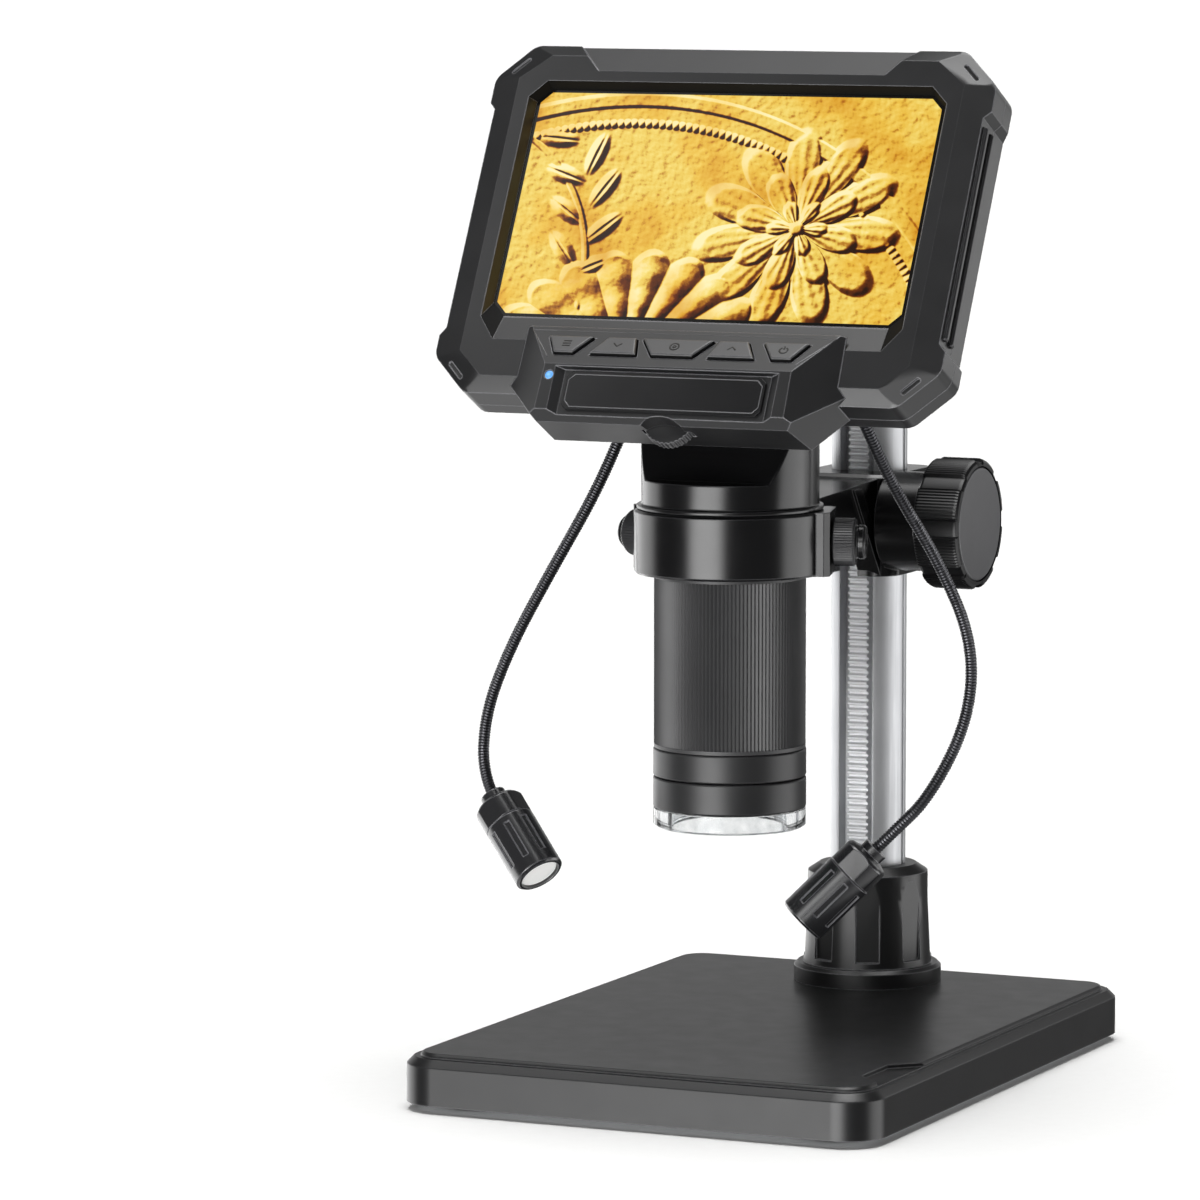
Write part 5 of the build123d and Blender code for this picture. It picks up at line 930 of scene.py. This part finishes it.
# ---- operators
class MICROSCOPE_OT_materials(bpy.types.Operator):
    """Makes the finishes and gives each CAD node its own"""
    bl_idname = "microscope.materials"
    bl_label = "Materials"

    def execute(self, context):
        colours = context.scene.microscope_colours
        makers = ((moulded_plastic, MOULDED), (drawn_metal, METALS), (clear_plastic, CLEAR),
                  (fitting_material, FITTINGS))
        for maker, finishes in makers:
            for short, (name, colour, *rest) in finishes.items():
                FINISH[short] = material(name, maker, getattr(colours, short, colour), *rest)
        FINISH["frost"] = material("frosted lamp window", frosted_lens, "#CFCFCC", "#E4E4E1")
        FINISH["led"] = material("lit blue indicator", blue_light)
        FINISH["screen"] = material("display under laminated glass", lit_picture)
        for node, obj in frame["nodes"].items():
            obj.data.materials.clear()
            obj.data.materials.append(finish_of(node))
        return {"FINISHED"}


class MICROSCOPE_OT_base(bpy.types.Operator):
    """Base plate with its raised stage"""
    bl_idname = "microscope.base"
    bl_label = "Base"

    def execute(self, context):
        size = context.scene.microscope_sizes
        # The edges at the foot, below 4 mm, stay sharp
        copied("base_shell", [
            (size.edge_round / MM, 25, lambda edge: edge_middle(edge).z > 4 * MM)])
        copied("rubber_feet", [(0.3, 40)])
        return {"FINISHED"}


class MICROSCOPE_OT_column(bpy.types.Operator):
    """Column, its cap and the collar at its foot"""
    bl_idname = "microscope.column"
    bl_label = "Column"

    def execute(self, context):
        size = context.scene.microscope_sizes
        copied("column_collar", [(0.25, 35)])
        copied("column", [(0.25, 40)])
        copied("column_cap", [(size.edge_round / MM, 30)])
        return {"FINISHED"}


class MICROSCOPE_OT_carriage(bpy.types.Operator):
    """Focusing carriage with its ring, knobs and clamp screws"""
    bl_idname = "microscope.carriage"
    bl_label = "Carriage"

    def execute(self, context):
        copied("carriage", [(0.3, 35)])
        for side, name in ((-1, "left"), (1, "right")):
            for piece, node in ((focus_knob(name, side), "focus_knob_" + name),
                                (clamp_screw(name), "thumb_screw_" + name)):
                place_on(piece, node, finish_of(node))
                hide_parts(node)
        copied("knob_caps", [(0.15, 30)])
        return {"FINISHED"}


class MICROSCOPE_OT_head(bpy.types.Operator):
    """Camera tube, focusing grip, light rings and clear cap"""
    bl_idname = "microscope.head"
    bl_label = "Camera head"

    def execute(self, context):
        copied("camera_body", [(0.35, 35)])
        copied("focus_grip", smooth=20.0)
        for ring in ("light_ring_upper", "light_ring_lower"):
            copied(ring, [(0.12, 30)])
        copied("clear_cap", [(0.2, 35)])
        copied("objective_lens")
        return {"FINISHED"}


class MICROSCOPE_OT_monitor(bpy.types.Operator):
    """Monitor case, its grips and its screen"""
    bl_idname = "microscope.monitor"
    bl_label = "Monitor"

    def execute(self, context):
        size = context.scene.microscope_sizes
        # In mm from the screen's middle: where the case's outer corners start, and the opening
        corner_side, corner_top, corner_foot = 49.5, 28.0, -36.0
        opening_side, opening_top, opening_foot = 50.0, 31.0, -34.0

        def case_corner(edge):
            """Edges that run from front to back at the case's outer corners."""
            run = (edge.verts[0].co - edge.verts[1].co).normalized()
            place = from_screen(edge_middle(edge)) / MM
            outer = abs(place.x) > corner_side and not corner_foot <= place.y <= corner_top
            return outer and abs(run.dot(SCREEN_NORMAL)) > 0.45

        def screen_reveal(face):
            """The slope above the glass, which looks down on it, and the cut corners' slopes: faces
            painted in shade.
            """
            place = from_screen(face.calc_center_median()) / MM
            inside = abs(place.x) < opening_side and opening_foot < place.y < opening_top
            up, across = face.normal.dot(SCREEN_UP), abs(face.normal.x)
            return inside and (up < -0.3 or (abs(up) > 0.2 and across > 0.2))

        # The reveal's faces take a finish painted near black: painted shade
        rounds = [(size.case_corner / MM, 20, case_corner, 3), (size.edge_round / MM, 24)]
        copied("monitor_front_bezel", rounds, CRISP, [("reveal", screen_reveal)])
        copied("monitor_rear_cover", rounds, CRISP)
        copied("side_grips", [(0.12, 30)])
        copied("cover_glass")
        return {"FINISHED"}


class MICROSCOPE_OT_deck(bpy.types.Operator):
    """Button deck with its panel, keys, light and dimmer wheel"""
    bl_idname = "microscope.deck"
    bl_label = "Button deck"

    def execute(self, context):
        copied("button_deck", [(0.25, 30)], CRISP)
        copied("deck_panel", [(0.15, 30)])
        slope_out = on_slope(0, 0, 0).col[2].xyz
        # The keys' sides take a finish painted almost black: painted shade in the gaps round them
        skirt = ("key_side", lambda face: face.normal.dot(slope_out) < 0.3)
        for key, strokes in KEY_SIGNS.items():
            copied("button_" + key, [(0.1, 30)], patches=[skirt])
            sign = raised_lines("key_sign_" + key, strokes, SIGN_RADIUS)
            laid(sign, on_slope(KEY_MIDDLES[key], KEY_ROW, KEY_PROUD), SIGN_FLAT)
            place_on(sign, "button_" + key, FINISH["mark"])
        # The panel's border and the line round the keys take a finish painted paler: a painted
        # highlight along them
        border = raised_lines("panel_border_line", [BORDER], BORDER_RADIUS, closed=True)
        laid(border, on_face(0, 0, BORDER_PROUD), LINE_FLAT)
        place_on(border, "deck_panel", FINISH["ridge"])
        field = raised_lines("key_field_line", [KEY_FIELD], FIELD_RADIUS)
        laid(field, on_slope(0, 0, 0), LINE_FLAT)
        place_on(field, "button_deck", FINISH["ridge"])
        copied("dimmer_wheel", smooth=20.0)
        copied("status_led", [(0.12, 30)])
        return {"FINISHED"}


class MICROSCOPE_OT_lamps(bpy.types.Operator):
    """Two lamps on goosenecks"""
    bl_idname = "microscope.lamps"
    bl_label = "Lamps"

    def execute(self, context):
        for side in ("left", "right"):
            copied("lamp_cap_" + side, [(0.15, 35)])
            copied("lamp_barrel_" + side, [(0.12, 35)])
            copied("lamp_lens_" + side, [(0.12, 30)])
            arm = coiled_arm(side, context.scene.microscope_sizes)
            if side == "left":
                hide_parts("gooseneck_roots")
        copied("lamp_sockets", [(0.25, 35)])
        return {"FINISHED"}


class MICROSCOPE_OT_stage(bpy.types.Operator):
    """Floor, soft lights and camera"""
    bl_idname = "microscope.stage"
    bl_label = "Stage"

    def execute(self, context):
        scene = context.scene
        scene.view_settings.view_transform = "Standard"
        bpy.ops.object.select_all(action="DESELECT")
        bpy.ops.mesh.primitive_plane_add(size=FLOOR_SIZE, location=(0, 0, -FLOOR_DROP))
        floor = context.object
        floor.name = "paper_floor"
        settle(floor)
        paper = material("matt white paper", floor_paper, "#F9F9F8", "#FCFCFB")
        floor.data.materials.append(paper)
        floor.visible_glossy = False
        floor.visible_diffuse = False
        floor.visible_shadow = False
        scene.world = light_world()
        for name, target, away, width, power in LIGHTS:
            away = Vector(away)
            bpy.ops.object.select_all(action="DESELECT")
            bpy.ops.object.light_add(type="AREA", location=on_screen(*target) + away)
            lamp = context.object
            lamp.name = name
            lamp.rotation_euler = (-away).to_track_quat("-Z", "Y").to_euler()
            lamp.data.size = width
            lamp.data.energy = getattr(scene.microscope_stage, power)
            lamp.visible_camera = False
        bpy.ops.object.select_all(action="DESELECT")
        bpy.ops.object.camera_add(location=CAMERA_PLACE)
        camera = context.object
        camera.name = "view"
        camera.rotation_euler = Euler((radians(90 - CAMERA_DOWN), 0.0, radians(CAMERA_LEFT)))
        camera.data.sensor_width = CAMERA_SENSOR
        camera.data.lens = CAMERA_LENS
        camera.data.clip_end = 200.0
        scene.camera = camera
        return {"FINISHED"}


class MICROSCOPE_PT_panel(bpy.types.Panel):
    """The settings and steps of the microscope"""
    bl_idname = "MICROSCOPE_PT_panel"
    bl_label = "Desk microscope"
    bl_space_type = "VIEW_3D"
    bl_region_type = "UI"
    bl_category = "Microscope"

    def draw(self, context):
        layout = self.layout
        for name in GROUPS:
            group = getattr(context.scene, name)
            for setting in group.__annotations__:
                layout.prop(group, setting)
        for operator in OPERATORS:
            layout.operator(operator.bl_idname)


GROUPS = {
    "microscope_sizes": MicroscopeSizes,
    "microscope_colours": MicroscopeColours,
    "microscope_stage": MicroscopeStage,
}
OPERATORS = (
    MICROSCOPE_OT_materials, MICROSCOPE_OT_base, MICROSCOPE_OT_column, MICROSCOPE_OT_carriage,
    MICROSCOPE_OT_head, MICROSCOPE_OT_monitor, MICROSCOPE_OT_deck, MICROSCOPE_OT_lamps,
    MICROSCOPE_OT_stage,
)
CLASSES = (*GROUPS.values(), *OPERATORS, MICROSCOPE_PT_panel)


def register():
    for item in CLASSES:
        bpy.utils.register_class(item)
    for name, group in GROUPS.items():
        setattr(bpy.types.Scene, name, PointerProperty(type=group))


def unregister():
    for name in GROUPS:
        delattr(bpy.types.Scene, name)
    for item in reversed(CLASSES):
        bpy.utils.unregister_class(item)


def main():
    register()
    for operator in OPERATORS:
        group, name = operator.bl_idname.split(".")
        if getattr(getattr(bpy.ops, group), name)() != {"FINISHED"}:
            raise RuntimeError(operator.bl_label + " could not be finished")


if __name__ == "__main__":
    main()
